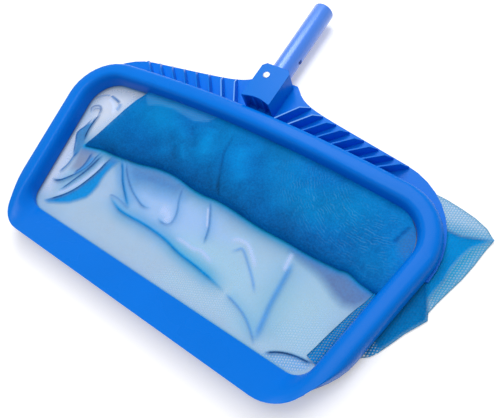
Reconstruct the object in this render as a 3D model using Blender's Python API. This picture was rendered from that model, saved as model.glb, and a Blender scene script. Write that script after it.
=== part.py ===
"""Leaf skimmer net: a moulded blue frame with a scoop lip and a ribbed yoke, a riveted handle tube,
and a knitted bag whose corded hem is held in a groove under the rim.

The net lies on its base, mouth up. X runs across the mouth, Y towards the handle, Z up.
Lengths are metres. Y is counted from the lip's front edge and shifted at the end, so that the
origin lies on the floor under the middle of the mouth.
"""
import math

import bmesh
import bpy
from mathutils import Matrix, Vector

MM = 0.001
CLEARANCE = 0.3 * MM

# ---- Mouth and rim ----------------------------------------------------------------------------
SIDE_SPLAY = 0.187            # outward run of each side per length towards the handle
CREST_HALF_WIDTH = 225 * MM   # half width of the crest line, measured at the lip's front edge
CREST_BACK_Y = 273.5 * MM     # crest line of the back rim at the middle
BACK_BOW = 18 * MM            # how far the back rim bows out between its corners
RIM_WIDTH = 27 * MM
RIM_BASE_Z = 6.5 * MM         # underside of the rim's walls on the sides and the back
CREST_Z = 29 * MM
RIM_WALL = 2.3 * MM
RIM_SQUARENESS = 0.6          # 1 gives a half ellipse, smaller values a squarer section
CREST_CORNER_BACK = 54 * MM
CREST_CORNER_FRONT = 48 * MM

# ---- Scoop lip --------------------------------------------------------------------------------
LIP_DEPTH = 37.5 * MM         # front edge to inner edge, seen from above
LIP_EDGE_Z = 33 * MM          # top of the free front edge
LIP_INNER_Z = 8.2 * MM        # top of the lip at its inner edge
LIP_BASE_Z = 4 * MM           # underside of the walls under the lip
LIP_PLATE = 2.3 * MM
LIP_OVERHANG = 14 * MM        # the free edge stands this far in front of the wall under it
LIP_FOOT = 6.5 * MM           # solid foot of the lip along its inner edge
INNER_CORNER_FRONT = 25 * MM
OUTER_CORNER_FRONT = 85 * MM

# ---- Groove for the hem under the inner edge --------------------------------------------------
GROOVE_WIDTH = 3.8 * MM
GROOVE_RIB = 1.5 * MM
CORD_RADIUS = 0.9 * MM
HEM_CLOTH = 0.4 * MM
HEM_SLIT = math.radians(25)    # half angle of the slit where the cloth leaves the hem

# ---- Retaining strips, T shaped in section ----------------------------------------------------
STRIP_HEAD_WIDTH = 7.2 * MM
STRIP_HEAD = 1.3 * MM
STRIP_STEM = 2 * MM

# ---- Cross ribs inside the rim's channel ------------------------------------------------------
CROSS_RIB_THICKNESS = 1.6 * MM
CROSS_RIB_DROP = 14 * MM      # depth of a cross rib below the crest

# ---- Yoke behind the back rim -----------------------------------------------------------------
YOKE_FLOOR_Z = 8.2 * MM
YOKE_PLATE = 2.3 * MM
YOKE_MIDDLE_Y = 331 * MM      # where the yoke's sloping back edges would meet
YOKE_SLOPE = 0.155
YOKE_CORNER = 95 * MM
YOKE_SKIRT = 3 * MM           # the yoke's edge outside the rim along the sides
YOKE_SIDE_END_Y = 150 * MM
NECK_FLARE = 27 * MM          # extra reach of the yoke beside the socket
NECK_FLARE_LENGTH = 15 * MM
RIB_COUNT = 8
RIB_FIRST_X = 33 * MM
RIB_PITCH = 20.5 * MM
RIB_LEAN = 25 * MM            # how far each rib's tip lies outside its root
RIB_THICKNESS = 1.6 * MM
RIB_ROOT_Z = 25.5 * MM
RIB_KNEE_Z = 22.5 * MM        # the top edge stays high up to the knee, then falls to the yoke's edge
RIB_KNEE = 0.7                # share of a rib's length between its root and the knee
RIB_TIP_RISE = 3 * MM

# ---- Handle socket ----------------------------------------------------------------------------
SOCKET_HALF_WIDTH = 21 * MM
SOCKET_FRONT_Y = 291 * MM
SOCKET_MOUTH_Y = 346 * MM
SOCKET_FRONT_BOW = 4 * MM
SOCKET_CORNER = 5 * MM
SOCKET_BOTTOM_WALL = 2.4 * MM
SOCKET_TOP_WALL = 2.2 * MM
SOCKET_EDGE_ROUND = 0.8 * MM

# ---- Handle tube ------------------------------------------------------------------------------
TUBE_RADIUS = 14.25 * MM      # slips into a 1 1/4 inch pole
TUBE_WALL = 2 * MM
TUBE_AXIS_Z = 20.2 * MM       # height of the tube's axis at the socket's mouth
TUBE_TILT = math.radians(0.9)
TUBE_IN_SOCKET = 44 * MM
TUBE_OUT = 112 * MM           # from the socket's mouth to the free end
TUBE_END_ROUND = 1.6 * MM
SLOT_FROM_SOCKET = 26.5 * MM
SLOT_LENGTH = 6.8 * MM
SLOT_DEPTH = 4 * MM
SLOT_TURN = math.radians(35)   # below the tube's right side

# ---- Blind rivet ------------------------------------------------------------------------------
RIVET_X = -6.5 * MM
RIVET_FROM_MOUTH = 17 * MM
RIVET_HEAD_RADIUS = 4.4 * MM
RIVET_HEAD = 1.3 * MM
RIVET_SHANK_RADIUS = 2.4 * MM
RIVET_BORE_RADIUS = 1.2 * MM
RIVET_BULB_RADIUS = 3.1 * MM
RIVET_BULB = 2.4 * MM
MANDREL_RADIUS = 0.9 * MM
MANDREL_RECESS = 0.5 * MM

# ---- Bag --------------------------------------------------------------------------------------
BAG_SHEET = 1.4 * MM
BAG_FOLD_HEIGHT = 14 * MM
BAG_FOLD_FRONT_Y = 157 * MM
BAG_FOLD_LEFT_FRONT_X = -206 * MM
BAG_FOLD_LEFT_BACK_X = -174 * MM
BAG_FOLD_BULGE = 12 * MM      # the fold's front edge swells towards the handle near its left end
BAG_FOLD_TUCK = 16 * MM       # and is drawn forward at its left corner
BAG_FOLD_WALL_GAP = 2 * MM    # gap between the fold and the rim's inner wall
FLAP_THICKNESS = 3 * MM
FLAP_OUTLINE = (              # the bag's end outside the right of the frame, counter-clockwise
    (250 * MM, 83 * MM), (263 * MM, 109 * MM), (282 * MM, 140 * MM), (293 * MM, 156 * MM),
    (289 * MM, 163 * MM), (307 * MM, 218 * MM), (313 * MM, 262 * MM), (282 * MM, 275 * MM),
    (237 * MM, 282 * MM), (205 * MM, 240 * MM), (205 * MM, 90 * MM))

# ---- Numbers of steps along the curves --------------------------------------------------------
FRONT_STEPS = 4
CORNER_STEPS = 10
SIDE_STEPS = 5
BACK_STEPS = 7
ROUND_STEPS = 40
SKIN_STEPS = 8
HEM_STEPS = 6

# ---- Colours (linear) and finishes ------------------------------------------------------------
FRAME_BLUE = (0.004, 0.155, 0.72, 1)
TUBE_BLUE = (0.012, 0.13, 0.68, 1)
NET_BLUE = (0.02, 0.25, 0.62, 1)
STRIP_BLUE = (0.004, 0.12, 0.6, 1)
CORD_WHITE = (0.7, 0.74, 0.78, 1)
RIVET_SILVER = (0.75, 0.76, 0.78, 1)
MANDREL_GREY = (0.3, 0.31, 0.33, 1)

# ---- Worked out from the sizes above ----------------------------------------------------------
RIM_HALF = RIM_WIDTH / 2
SPLAY_LENGTH = math.hypot(1, SIDE_SPLAY)
BACK_HALF_WIDTH = CREST_HALF_WIDTH + SIDE_SPLAY * CREST_BACK_Y
BACK_RADIUS = (BACK_HALF_WIDTH ** 2 + BACK_BOW ** 2) / (2 * BACK_BOW)
BACK_CENTRE_Y = CREST_BACK_Y - BACK_RADIUS
MOUTH_MIDDLE_Y = (LIP_DEPTH + CREST_BACK_Y - RIM_HALF) / 2
HEM_RADIUS = CORD_RADIUS + CLEARANCE + HEM_CLOTH
SOCKET_BOTTOM_Z = TUBE_AXIS_Z - TUBE_RADIUS - CLEARANCE - SOCKET_BOTTOM_WALL
SOCKET_TOP_Z = TUBE_AXIS_Z + TUBE_RADIUS + SOCKET_TOP_WALL
RIVET_Y = SOCKET_MOUTH_Y - RIVET_FROM_MOUTH


# ---- Scene and mesh helpers -------------------------------------------------------------------
def clear_scene():
    for item in list(bpy.data.objects):
        bpy.data.objects.remove(item, do_unlink=True)


def material(name, colour, roughness, metallic=0.0):
    made = bpy.data.materials.new(name)
    made.use_nodes = True
    made.diffuse_color = colour
    shader = made.node_tree.nodes["Principled BSDF"]
    shader.inputs["Base Color"].default_value = colour
    shader.inputs["Roughness"].default_value = roughness
    shader.inputs["Metallic"].default_value = metallic
    return made


def place(name, bm, look=None, smooth_angle=math.radians(35)):
    """Turn a bmesh into a named object whose faces point out."""
    bmesh.ops.recalc_face_normals(bm, faces=bm.faces)
    mesh = bpy.data.meshes.new(name)
    bm.to_mesh(mesh)
    bm.free()
    mesh.shade_smooth()
    mesh.set_sharp_from_angle(angle=smooth_angle)
    made = bpy.data.objects.new(name, mesh)
    bpy.context.scene.collection.objects.link(made)
    if look:
        mesh.materials.append(look)
    return made


def tool(name, bm):
    """A guide body that is only cut away from, or merged with, a piece."""
    made = place(name, bm)
    made.hide_render = True
    made.display_type = "WIRE"
    return made


def combine(target, other, operation):
    modifier = target.modifiers.new(other.name, "BOOLEAN")
    modifier.operation = operation
    modifier.object = other
    modifier.solver = "EXACT"


def add_ring(bm, points):
    return [bm.verts.new(point) for point in points]


def bridge(bm, first, second, closed=True):
    """Faces between two rows of vertices with as many points each."""
    count = len(first)
    last = count if closed else count - 1
    for index in range(last):
        following = (index + 1) % count
        bm.faces.new((first[index], first[following], second[following], second[index]))


def loft(bm, sections, closed_path):
    """A solid through closed sections, round a loop or between two end caps."""
    rings = [add_ring(bm, section) for section in sections]
    for first, second in zip(rings, rings[1:]):
        bridge(bm, first, second)
    if closed_path:
        bridge(bm, rings[-1], rings[0])
    else:
        bm.faces.new(rings[0])
        bm.faces.new(reversed(rings[-1]))
    return bm


def prism(bm, outline, low, high):
    """A solid of constant height over an outline in plan."""
    bottom = [Vector((x, y, low)) for x, y in outline]
    top = [Vector((x, y, high)) for x, y in outline]
    return loft(bm, (bottom, top), False)


def turned(profile, steps=ROUND_STEPS):
    """A solid of revolution about Z from a closed profile of (radius, height)."""
    bm = bmesh.new()
    sections = []
    for step in range(steps):
        angle = 2 * math.pi * step / steps
        sections.append([Vector((r * math.cos(angle), r * math.sin(angle), z)) for r, z in profile])
    return loft(bm, sections, True)


def mix(first, second, amount):
    return first + (second - first) * amount


def ease(amount):
    return amount * amount * (3 - 2 * amount)


# ---- Outlines of the mouth in plan ------------------------------------------------------------
def arc(centre, radius, start, end, steps):
    """Points from just after the start angle to the end angle."""
    points = []
    for step in range(1, steps + 1):
        angle = mix(start, end, step / steps)
        points.append(Vector((centre.x + radius * math.cos(angle), centre.y + radius * math.sin(angle))))
    return points


def line(start, end, steps):
    return [start.lerp(end, step / steps) for step in range(1, steps + 1)]


def half_outline(front_y, half_width, front_corner, back_y, back_corner):
    """Right half of a mouth outline: front, corner, splayed side, corner and bowed back."""
    back_centre = Vector((0, BACK_CENTRE_Y))
    back_radius = back_y - BACK_CENTRE_Y
    side_angle = -math.atan(SIDE_SPLAY)
    along = Vector((SIDE_SPLAY, 1)) / SPLAY_LENGTH
    outward = Vector((1, -SIDE_SPLAY)) / SPLAY_LENGTH
    front_centre_y = front_y + front_corner
    front_centre_x = half_width + SIDE_SPLAY * front_centre_y - front_corner * SPLAY_LENGTH
    front_centre = Vector((front_centre_x, front_centre_y))
    start = Vector((half_width, 0)) - outward * back_corner
    reach = (start - back_centre).dot(along)
    spread = (start - back_centre).length_squared - (back_radius - back_corner) ** 2
    corner_centre = start + along * (math.sqrt(reach * reach - spread) - reach)
    turn = corner_centre - back_centre
    turn_angle = math.atan2(turn.y, turn.x)
    points = [Vector((0, front_y))]
    points += line(points[0], Vector((front_centre.x, front_y)), FRONT_STEPS)
    points += arc(front_centre, front_corner, -math.pi / 2, side_angle, CORNER_STEPS)
    points += line(points[-1], corner_centre + outward * back_corner, SIDE_STEPS)
    points += arc(corner_centre, back_corner, side_angle, turn_angle, CORNER_STEPS)
    points += arc(back_centre, back_radius, turn_angle, math.pi / 2, BACK_STEPS)
    return points


def full_loop(half):
    """Mirror a right half into a closed loop that starts at the front middle."""
    left = [Vector((-point.x, point.y)) for point in reversed(half[1:-1])]
    return half + left


def inner_half():
    return half_outline(LIP_DEPTH, CREST_HALF_WIDTH - RIM_HALF, INNER_CORNER_FRONT,
                        CREST_BACK_Y - RIM_HALF, CREST_CORNER_BACK - RIM_HALF)


def crest_half():
    return half_outline(0, CREST_HALF_WIDTH, CREST_CORNER_FRONT, CREST_BACK_Y, CREST_CORNER_BACK)


def outer_half(extra=0.0):
    return half_outline(LIP_OVERHANG - extra, CREST_HALF_WIDTH + RIM_HALF + extra,
                        OUTER_CORNER_FRONT + extra, CREST_BACK_Y + RIM_HALF + extra,
                        CREST_CORNER_BACK + RIM_HALF + extra)


def half_weights():
    """0 along the lip, rising to 1 through the front corner, 1 on the sides and the back."""
    corner = [ease(step / CORNER_STEPS) for step in range(1, CORNER_STEPS + 1)]
    rest = [1.0] * (SIDE_STEPS + CORNER_STEPS + BACK_STEPS)
    return [0.0] * (FRONT_STEPS + 1) + corner + rest


def normals(loop):
    """Outward normals of a closed counter-clockwise loop."""
    made = []
    for index, point in enumerate(loop):
        step = loop[(index + 1) % len(loop)] - loop[index - 1]
        made.append(Vector((step.y, -step.x)).normalized())
    return made


class Stations:
    """The mouth's three outlines, sampled together, with the blend from lip to rim."""

    def __init__(self):
        self.inner = full_loop(inner_half())
        self.crest = full_loop(crest_half())
        self.outer = full_loop(outer_half())
        weights = half_weights()
        self.weight = weights + list(reversed(weights[1:-1]))
        self.normal = normals(self.inner)
        self.count = len(self.inner)

    def point(self, index, along_lip, along_skirt, offset, height):
        """A point of the section at one station, in shares of the outlines' spacing."""
        plan = self.inner[index] + (self.crest[index] - self.inner[index]) * along_lip
        plan = plan + (self.outer[index] - self.crest[index]) * along_skirt
        plan = plan + self.normal[index] * offset
        return Vector((plan.x, plan.y, height))

    def base(self, index):
        return mix(LIP_BASE_Z, RIM_BASE_Z, self.weight[index])

    def groove(self, index):
        """Distance from the inner edge to the middle of the hem groove."""
        return mix(LIP_FOOT, RIM_WALL, self.weight[index]) + GROOVE_WIDTH / 2


# ---- Frame: rim and lip -----------------------------------------------------------------------
def lip_z(depth):
    """Top of the lip's plate at a depth from its inner edge."""
    return mix(LIP_INNER_Z, LIP_EDGE_Z, depth / LIP_DEPTH)


def rim_skin_point(angle):
    """One point of the rim's outside: shares towards crest and outer line, and height."""
    run = 1 - abs(math.cos(angle)) ** RIM_SQUARENESS
    rise = math.sin(angle) ** RIM_SQUARENESS if 0 < angle < math.pi else 0.0
    height = mix(RIM_BASE_Z, CREST_Z, rise)
    if angle <= math.pi / 2:
        return (run, 0.0, 0.0, height)
    return (1.0, 1 - run, 0.0, height)


def rim_skin():
    return [rim_skin_point(math.pi * step / (2 * SKIN_STEPS)) for step in range(2 * SKIN_STEPS + 1)]


def lip_skin():
    """The lip at the front: foot, plate, free edge, underside and the wall beneath."""
    under_edge = LIP_EDGE_Z - LIP_PLATE
    wall_top = lip_z(LIP_DEPTH - LIP_OVERHANG) - LIP_PLATE
    points = [(0.0, 0.0, 0.0, LIP_BASE_Z)]
    for step in range(SKIN_STEPS):
        share = step / (SKIN_STEPS - 1)
        points.append((share, 0.0, 0.0, lip_z(share * LIP_DEPTH)))
    points.append((1.0, 0.0, 0.0, under_edge))
    for step in range(SKIN_STEPS - 1):
        share = step / (SKIN_STEPS - 2)
        points.append((1.0, 1.0, 0.0, mix(wall_top, LIP_BASE_Z, share)))
    return points


def rim_channel():
    """The rim's hollow underside with the groove rib, from the outer wall inwards."""
    groove_end = RIM_WALL + GROOVE_WIDTH
    rib_end = groove_end + GROOVE_RIB
    roof = CREST_Z - RIM_WALL
    shoulder = CREST_Z - 2.6 * RIM_WALL
    return [(1.0, 1.0, -RIM_WALL, RIM_BASE_Z),
            (1.0, 1.0, -RIM_WALL, mix(RIM_BASE_Z, CREST_Z, 0.55)),
            (1.0, 1.0, -2.2 * RIM_WALL, shoulder),
            (1.0, 0.0, 0.0, roof),
            (0.0, 0.0, rib_end, roof),
            (0.0, 0.0, rib_end, RIM_BASE_Z),
            (0.0, 0.0, groove_end, RIM_BASE_Z),
            (0.0, 0.0, groove_end, shoulder),
            (0.0, 0.0, RIM_WALL, mix(RIM_BASE_Z, CREST_Z, 0.5)),
            (0.0, 0.0, RIM_WALL, RIM_BASE_Z)]


def lip_channel():
    groove_end = LIP_FOOT + GROOVE_WIDTH
    rib_end = groove_end + GROOVE_RIB
    wall = LIP_DEPTH - LIP_OVERHANG - RIM_WALL
    middle = mix(rib_end, wall, 0.5)
    return [(0.0, 0.0, wall, LIP_BASE_Z),
            (0.0, 0.0, wall, mix(LIP_BASE_Z, lip_z(wall) - LIP_PLATE, 0.6)),
            (0.0, 0.0, wall, lip_z(wall) - LIP_PLATE),
            (0.0, 0.0, middle, lip_z(middle) - LIP_PLATE),
            (0.0, 0.0, rib_end, lip_z(rib_end) - LIP_PLATE),
            (0.0, 0.0, rib_end, LIP_BASE_Z),
            (0.0, 0.0, groove_end, LIP_BASE_Z),
            (0.0, 0.0, groove_end, lip_z(groove_end) - LIP_PLATE),
            (0.0, 0.0, LIP_FOOT, lip_z(LIP_FOOT) - LIP_PLATE),
            (0.0, 0.0, LIP_FOOT, LIP_BASE_Z)]


def rim_section(stations, index):
    weight = stations.weight[index]
    points = []
    for lip, rim in zip(lip_skin() + lip_channel(), rim_skin() + rim_channel()):
        blended = [mix(first, second, weight) for first, second in zip(lip, rim)]
        points.append(stations.point(index, *blended))
    return points


def rim_body(stations, look):
    bm = bmesh.new()
    sections = [rim_section(stations, index) for index in range(stations.count)]
    return place("frame", loft(bm, sections, True), look)


# ---- Frame: yoke, ribs, socket ----------------------------------------------------------------
def yoke_edge_y(x):
    """Back edge of the yoke between its corner and the socket's neck."""
    beside = max(abs(x) - SOCKET_HALF_WIDTH, 0)
    flare = NECK_FLARE * math.exp(-beside / NECK_FLARE_LENGTH)
    return min(YOKE_MIDDLE_Y - YOKE_SLOPE * abs(x) + flare, SOCKET_MOUTH_Y - CLEARANCE)


def yoke_half_edge():
    """Outer edge of the yoke from its end on the right side to the middle."""
    side_width = CREST_HALF_WIDTH + RIM_HALF + YOKE_SKIRT
    corner_x = (side_width + SIDE_SPLAY * YOKE_MIDDLE_Y) / (1 + SIDE_SPLAY * YOKE_SLOPE)
    side_angle = -math.atan(SIDE_SPLAY)
    back_angle = math.pi / 2 - math.atan(YOKE_SLOPE)
    reach = YOKE_CORNER * math.tan((back_angle - side_angle) / 2)
    along_back = Vector((-1, YOKE_SLOPE)).normalized()
    corner = Vector((corner_x, YOKE_MIDDLE_Y - YOKE_SLOPE * corner_x))
    back_end = corner + along_back * reach
    centre = back_end - Vector((math.cos(back_angle), math.sin(back_angle))) * YOKE_CORNER
    side_end = centre + Vector((math.cos(side_angle), math.sin(side_angle))) * YOKE_CORNER
    points = [Vector((side_width - YOKE_SKIRT - RIM_WALL / 2 + SIDE_SPLAY * YOKE_SIDE_END_Y, YOKE_SIDE_END_Y))]
    points += line(points[0], side_end, 1)
    points += arc(centre, YOKE_CORNER, side_angle, back_angle, CORNER_STEPS)
    steps = 4 * BACK_STEPS
    for step in range(1, steps + 1):
        x = mix(back_end.x, 0, math.sin(step / steps * math.pi / 2))
        points.append(Vector((x, yoke_edge_y(x))))
    return points


def lengths(points):
    run = [0.0]
    for first, second in zip(points, points[1:]):
        run.append(run[-1] + (second - first).length)
    return run


def point_at(points, run, distance):
    for index in range(1, len(points)):
        if run[index] >= distance:
            share = (distance - run[index - 1]) / max(run[index] - run[index - 1], MM * MM)
            return points[index - 1].lerp(points[index], share)
    return points[-1]


def yoke_inner_half():
    """Where the yoke's plate ends inside the rim's outer wall, from the side to the middle."""
    half = outer_half(-RIM_WALL / 2)
    return [point for point in half if point.y > YOKE_SIDE_END_Y]


def yoke_plate():
    """The yoke's floor, a band between the rim's outer wall and the yoke's edge."""
    edge = yoke_half_edge()
    inner = yoke_inner_half()
    inner = [Vector((edge[0].x, YOKE_SIDE_END_Y))] + inner
    run = lengths(inner)
    edge_run = lengths(edge)
    sections = []
    for point, distance in zip(edge, edge_run):
        partner = point_at(inner, run, distance / edge_run[-1] * run[-1])
        sections.append((point, partner))
    mirrored = [(Vector((-a.x, a.y)), Vector((-b.x, b.y))) for a, b in reversed(sections[:-1])]
    low = YOKE_FLOOR_Z - YOKE_PLATE
    rings = []
    for outer_point, inner_point in sections[1:] + mirrored[:-1]:
        rings.append([Vector((outer_point.x, outer_point.y, low)),
                      Vector((outer_point.x, outer_point.y, YOKE_FLOOR_Z)),
                      Vector((inner_point.x, inner_point.y, YOKE_FLOOR_Z)),
                      Vector((inner_point.x, inner_point.y, low))])
    return loft(bmesh.new(), rings, False)


def rim_outside_y(x):
    """The rim's outer wall at a distance from the middle, on its bowed back."""
    radius = CREST_BACK_Y + RIM_HALF - BACK_CENTRE_Y
    return BACK_CENTRE_Y + math.sqrt(radius * radius - x * x)


def yoke_rib(bm, root_x, side):
    """One upright gusset from the rim's shoulder down to the yoke's edge."""
    tip_x = root_x + RIB_LEAN
    root = Vector((root_x, rim_outside_y(root_x) - RIM_WALL / 2))
    tip = Vector((tip_x, yoke_edge_y(tip_x) - RIB_THICKNESS))
    across = Vector((tip.y - root.y, root.x - tip.x)).normalized() * RIB_THICKNESS / 2
    shoulder = (root - tip).normalized() * 1.5 * RIM_WALL
    knee = root.lerp(tip, RIB_KNEE)
    low = YOKE_FLOOR_Z - YOKE_PLATE / 2
    sections = []
    for sign in (-1, 1):
        shift = across * sign
        profile = ((root, low), (tip, low), (tip, YOKE_FLOOR_Z + RIB_TIP_RISE), (knee, RIB_KNEE_Z),
                   (root + shoulder, RIB_ROOT_Z))
        sections.append([Vector((side * (p.x + shift.x), p.y + shift.y, z)) for p, z in profile])
    loft(bm, sections, False)


def yoke_ribs():
    bm = bmesh.new()
    for index in range(RIB_COUNT):
        for side in (-1, 1):
            yoke_rib(bm, RIB_FIRST_X + index * RIB_PITCH, side)
    return bm


def socket_block():
    """The box that holds the tube: bowed front wall, cut back corners, softened top edge."""
    half = SOCKET_HALF_WIDTH
    outline = [(half, SOCKET_FRONT_Y), (half, SOCKET_MOUTH_Y - SOCKET_CORNER),
               (half - SOCKET_CORNER, SOCKET_MOUTH_Y), (-half + SOCKET_CORNER, SOCKET_MOUTH_Y),
               (-half, SOCKET_MOUTH_Y - SOCKET_CORNER), (-half, SOCKET_FRONT_Y)]
    for step in range(1, CORNER_STEPS):
        share = step / CORNER_STEPS
        outline.append((mix(-half, half, share),
                        SOCKET_FRONT_Y + SOCKET_FRONT_BOW * math.sin(share * math.pi)))
    bm = prism(bmesh.new(), outline, SOCKET_BOTTOM_Z, SOCKET_TOP_Z)
    top = [edge for edge in bm.edges if all(v.co.z > SOCKET_TOP_Z - MM * MM for v in edge.verts)]
    bmesh.ops.bevel(bm, geom=top, offset=SOCKET_EDGE_ROUND, segments=2, affect="EDGES", profile=0.5)
    return bm


def along_tube(bm):
    """Turn a body made along Z so that it points along the tube from the socket's mouth."""
    turn = Matrix.Rotation(TUBE_TILT - math.pi / 2, 4, "X")
    move = Matrix.Translation((0, SOCKET_MOUTH_Y, TUBE_AXIS_Z))
    bmesh.ops.transform(bm, matrix=move @ turn, verts=bm.verts)
    return bm


def round_bar(radius, low, high):
    bm = bmesh.new()
    sections = []
    for height in (low, high):
        ring = []
        for step in range(ROUND_STEPS):
            angle = 2 * math.pi * step / ROUND_STEPS
            ring.append(Vector((radius * math.cos(angle), radius * math.sin(angle), height)))
        sections.append(ring)
    return loft(bm, sections, False)


def rivet_hole(radius):
    bm = round_bar(radius, TUBE_AXIS_Z, SOCKET_TOP_Z + MM)
    bmesh.ops.translate(bm, vec=(RIVET_X, RIVET_Y, 0), verts=bm.verts)
    return bm


def cross_rib(bm, stations, index):
    """One thin wall across the rim's channel, under the crest."""
    across = stations.normal[index]
    along = Vector((-across.y, across.x)) * CROSS_RIB_THICKNESS / 2
    first = RIM_WALL + GROOVE_WIDTH + GROOVE_RIB / 2
    last = RIM_WIDTH - RIM_WALL / 2
    low = CREST_Z - CROSS_RIB_DROP
    high = CREST_Z - RIM_WALL / 2
    profile = ((first, low), (last, low), (last, mix(low, high, 0.5)), (last - 2 * RIM_WALL, high),
               (first, high))
    sections = []
    for sign in (-1, 1):
        ring = []
        for depth, height in profile:
            plan = stations.inner[index] + across * depth + along * sign
            ring.append(Vector((plan.x, plan.y, height)))
        sections.append(ring)
    loft(bm, sections, False)


def cross_ribs(stations):
    bm = bmesh.new()
    first = FRONT_STEPS + CORNER_STEPS + 2
    for index in range(first, stations.count - first + 1, 2):
        cross_rib(bm, stations, index)
    return bm


def make_frame(stations, look):
    frame = rim_body(stations, look)
    combine(frame, tool("yoke_plate_tool", yoke_plate()), "UNION")
    combine(frame, tool("yoke_ribs_tool", yoke_ribs()), "UNION")
    combine(frame, tool("cross_ribs_tool", cross_ribs(stations)), "UNION")
    combine(frame, tool("socket_tool", socket_block()), "UNION")
    bore = along_tube(round_bar(TUBE_RADIUS + CLEARANCE, -TUBE_IN_SOCKET, TUBE_WALL))
    combine(frame, tool("socket_bore_tool", bore), "DIFFERENCE")
    hole = rivet_hole(RIVET_SHANK_RADIUS + CLEARANCE)
    combine(frame, tool("frame_rivet_hole_tool", hole), "DIFFERENCE")
    return frame


# ---- Handle and rivet -------------------------------------------------------------------------
def handle_profile():
    inner = TUBE_RADIUS - TUBE_WALL
    low = CLEARANCE - TUBE_IN_SOCKET
    end = TUBE_OUT
    round_off = TUBE_END_ROUND
    profile = [(inner, low), (TUBE_RADIUS, low)]
    for step in range(4):
        angle = step / 3 * math.pi / 2
        profile.append((TUBE_RADIUS - round_off + round_off * math.cos(angle),
                        end - round_off + round_off * math.sin(angle)))
    profile.append((inner, end))
    return profile


def slot_cutter():
    """The box that cuts the catch slot into the tube's right side."""
    depth = TUBE_RADIUS - SLOT_DEPTH
    low = SLOT_FROM_SOCKET - SLOT_LENGTH / 2
    high = SLOT_FROM_SOCKET + SLOT_LENGTH / 2
    outline = ((depth, -TUBE_RADIUS), (2 * TUBE_RADIUS, -TUBE_RADIUS),
               (2 * TUBE_RADIUS, TUBE_RADIUS), (depth, TUBE_RADIUS))
    bm = prism(bmesh.new(), outline, low, high)
    bmesh.ops.rotate(bm, verts=bm.verts, matrix=Matrix.Rotation(SLOT_TURN, 3, "Z"))
    return along_tube(bm)


def make_handle(look):
    tube = place("handle_tube", along_tube(turned(handle_profile())), look)
    combine(tube, tool("slot_tool", slot_cutter()), "DIFFERENCE")
    hole = rivet_hole(RIVET_SHANK_RADIUS + CLEARANCE)
    combine(tube, tool("tube_rivet_hole_tool", hole), "DIFFERENCE")
    return tube


def bulb_top():
    """Highest level at which the rivet's bulb clears the inside of the tube."""
    reach = abs(RIVET_X) + RIVET_BULB_RADIUS
    inner = TUBE_RADIUS - TUBE_WALL
    lift = (RIVET_Y - SOCKET_MOUTH_Y) * math.tan(TUBE_TILT)
    return TUBE_AXIS_Z + lift + math.sqrt(inner * inner - reach * reach) - 2 * CLEARANCE


def make_rivet(silver, grey):
    top = SOCKET_TOP_Z + CLEARANCE
    bulb = bulb_top()
    low = bulb - RIVET_BULB
    body = [(RIVET_BORE_RADIUS, low), (RIVET_SHANK_RADIUS, low), (RIVET_BULB_RADIUS, low + MM),
            (RIVET_BULB_RADIUS, bulb - MM / 2), (RIVET_SHANK_RADIUS, bulb), (RIVET_SHANK_RADIUS, top),
            (RIVET_HEAD_RADIUS, top), (RIVET_HEAD_RADIUS, top + RIVET_HEAD / 3),
            (0.7 * RIVET_HEAD_RADIUS, top + 0.85 * RIVET_HEAD), (0.45 * RIVET_HEAD_RADIUS, top + RIVET_HEAD),
            (RIVET_BORE_RADIUS, top + RIVET_HEAD)]
    head_low = low - CLEARANCE
    stub_top = top + RIVET_HEAD - MANDREL_RECESS
    stub = [(0.0, head_low - MM), (0.7 * RIVET_SHANK_RADIUS, head_low - MM),
            (0.9 * RIVET_SHANK_RADIUS, head_low), (MANDREL_RADIUS, head_low), (MANDREL_RADIUS, stub_top),
            (0.0, stub_top)]
    for name, profile, look in (("rivet_body", body, silver), ("rivet_mandrel", stub, grey)):
        bm = turned(profile, ROUND_STEPS // 2)
        bmesh.ops.remove_doubles(bm, verts=bm.verts, dist=MM * MM)
        bmesh.ops.translate(bm, vec=(RIVET_X, RIVET_Y, 0), verts=bm.verts)
        place(name, bm, look)


# ---- Hem, cord and retaining strips -----------------------------------------------------------
def hem_centre(stations, index):
    plan = stations.inner[index] + stations.normal[index] * stations.groove(index)
    height = stations.base(index) + STRIP_STEM + CLEARANCE + HEM_RADIUS
    return Vector((plan.x, plan.y, height))


def hem_ring(stations, index, radius, sides):
    centre = hem_centre(stations, index)
    across = stations.normal[index]
    ring = []
    for step in range(sides):
        angle = 2 * math.pi * (step + 0.5) / sides
        side = across * radius * math.cos(angle)
        ring.append(centre + Vector((side.x, side.y, radius * math.sin(angle))))
    return ring


def hem_stations(stations):
    """Every station of the corners, and every second one where the path is nearly straight."""
    corners = set()
    for index in range(stations.count):
        share = index if index <= stations.count // 2 else stations.count - index
        front = FRONT_STEPS <= share <= FRONT_STEPS + CORNER_STEPS
        back_first = FRONT_STEPS + CORNER_STEPS + SIDE_STEPS
        back = back_first <= share <= back_first + CORNER_STEPS
        if front or back or share % 2 == 0:
            corners.add(index)
    return sorted(corners)


def sleeve_ring(stations, index):
    """C-shaped section of the hem: the cloth wraps the cord and leaves through the slit below."""
    centre = hem_centre(stations, index)
    across = stations.normal[index]
    ring = []
    for radius, turn in ((HEM_RADIUS, 1), (HEM_RADIUS - HEM_CLOTH, -1)):
        for step in range(HEM_STEPS + 1):
            angle = turn * (mix(HEM_SLIT, 2 * math.pi - HEM_SLIT, step / HEM_STEPS) - math.pi) + math.pi / 2
            side = across * radius * math.cos(angle)
            ring.append(centre + Vector((side.x, side.y, radius * math.sin(angle))))
    return ring


def make_hem(stations, cloth, white):
    places = hem_stations(stations)
    sleeve = loft(bmesh.new(), [sleeve_ring(stations, index) for index in places], True)
    cord = loft(bmesh.new(), [hem_ring(stations, index, CORD_RADIUS, 6) for index in places], True)
    place("hem_sleeve", sleeve, cloth)
    place("bead_cord", cord, white)


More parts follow.
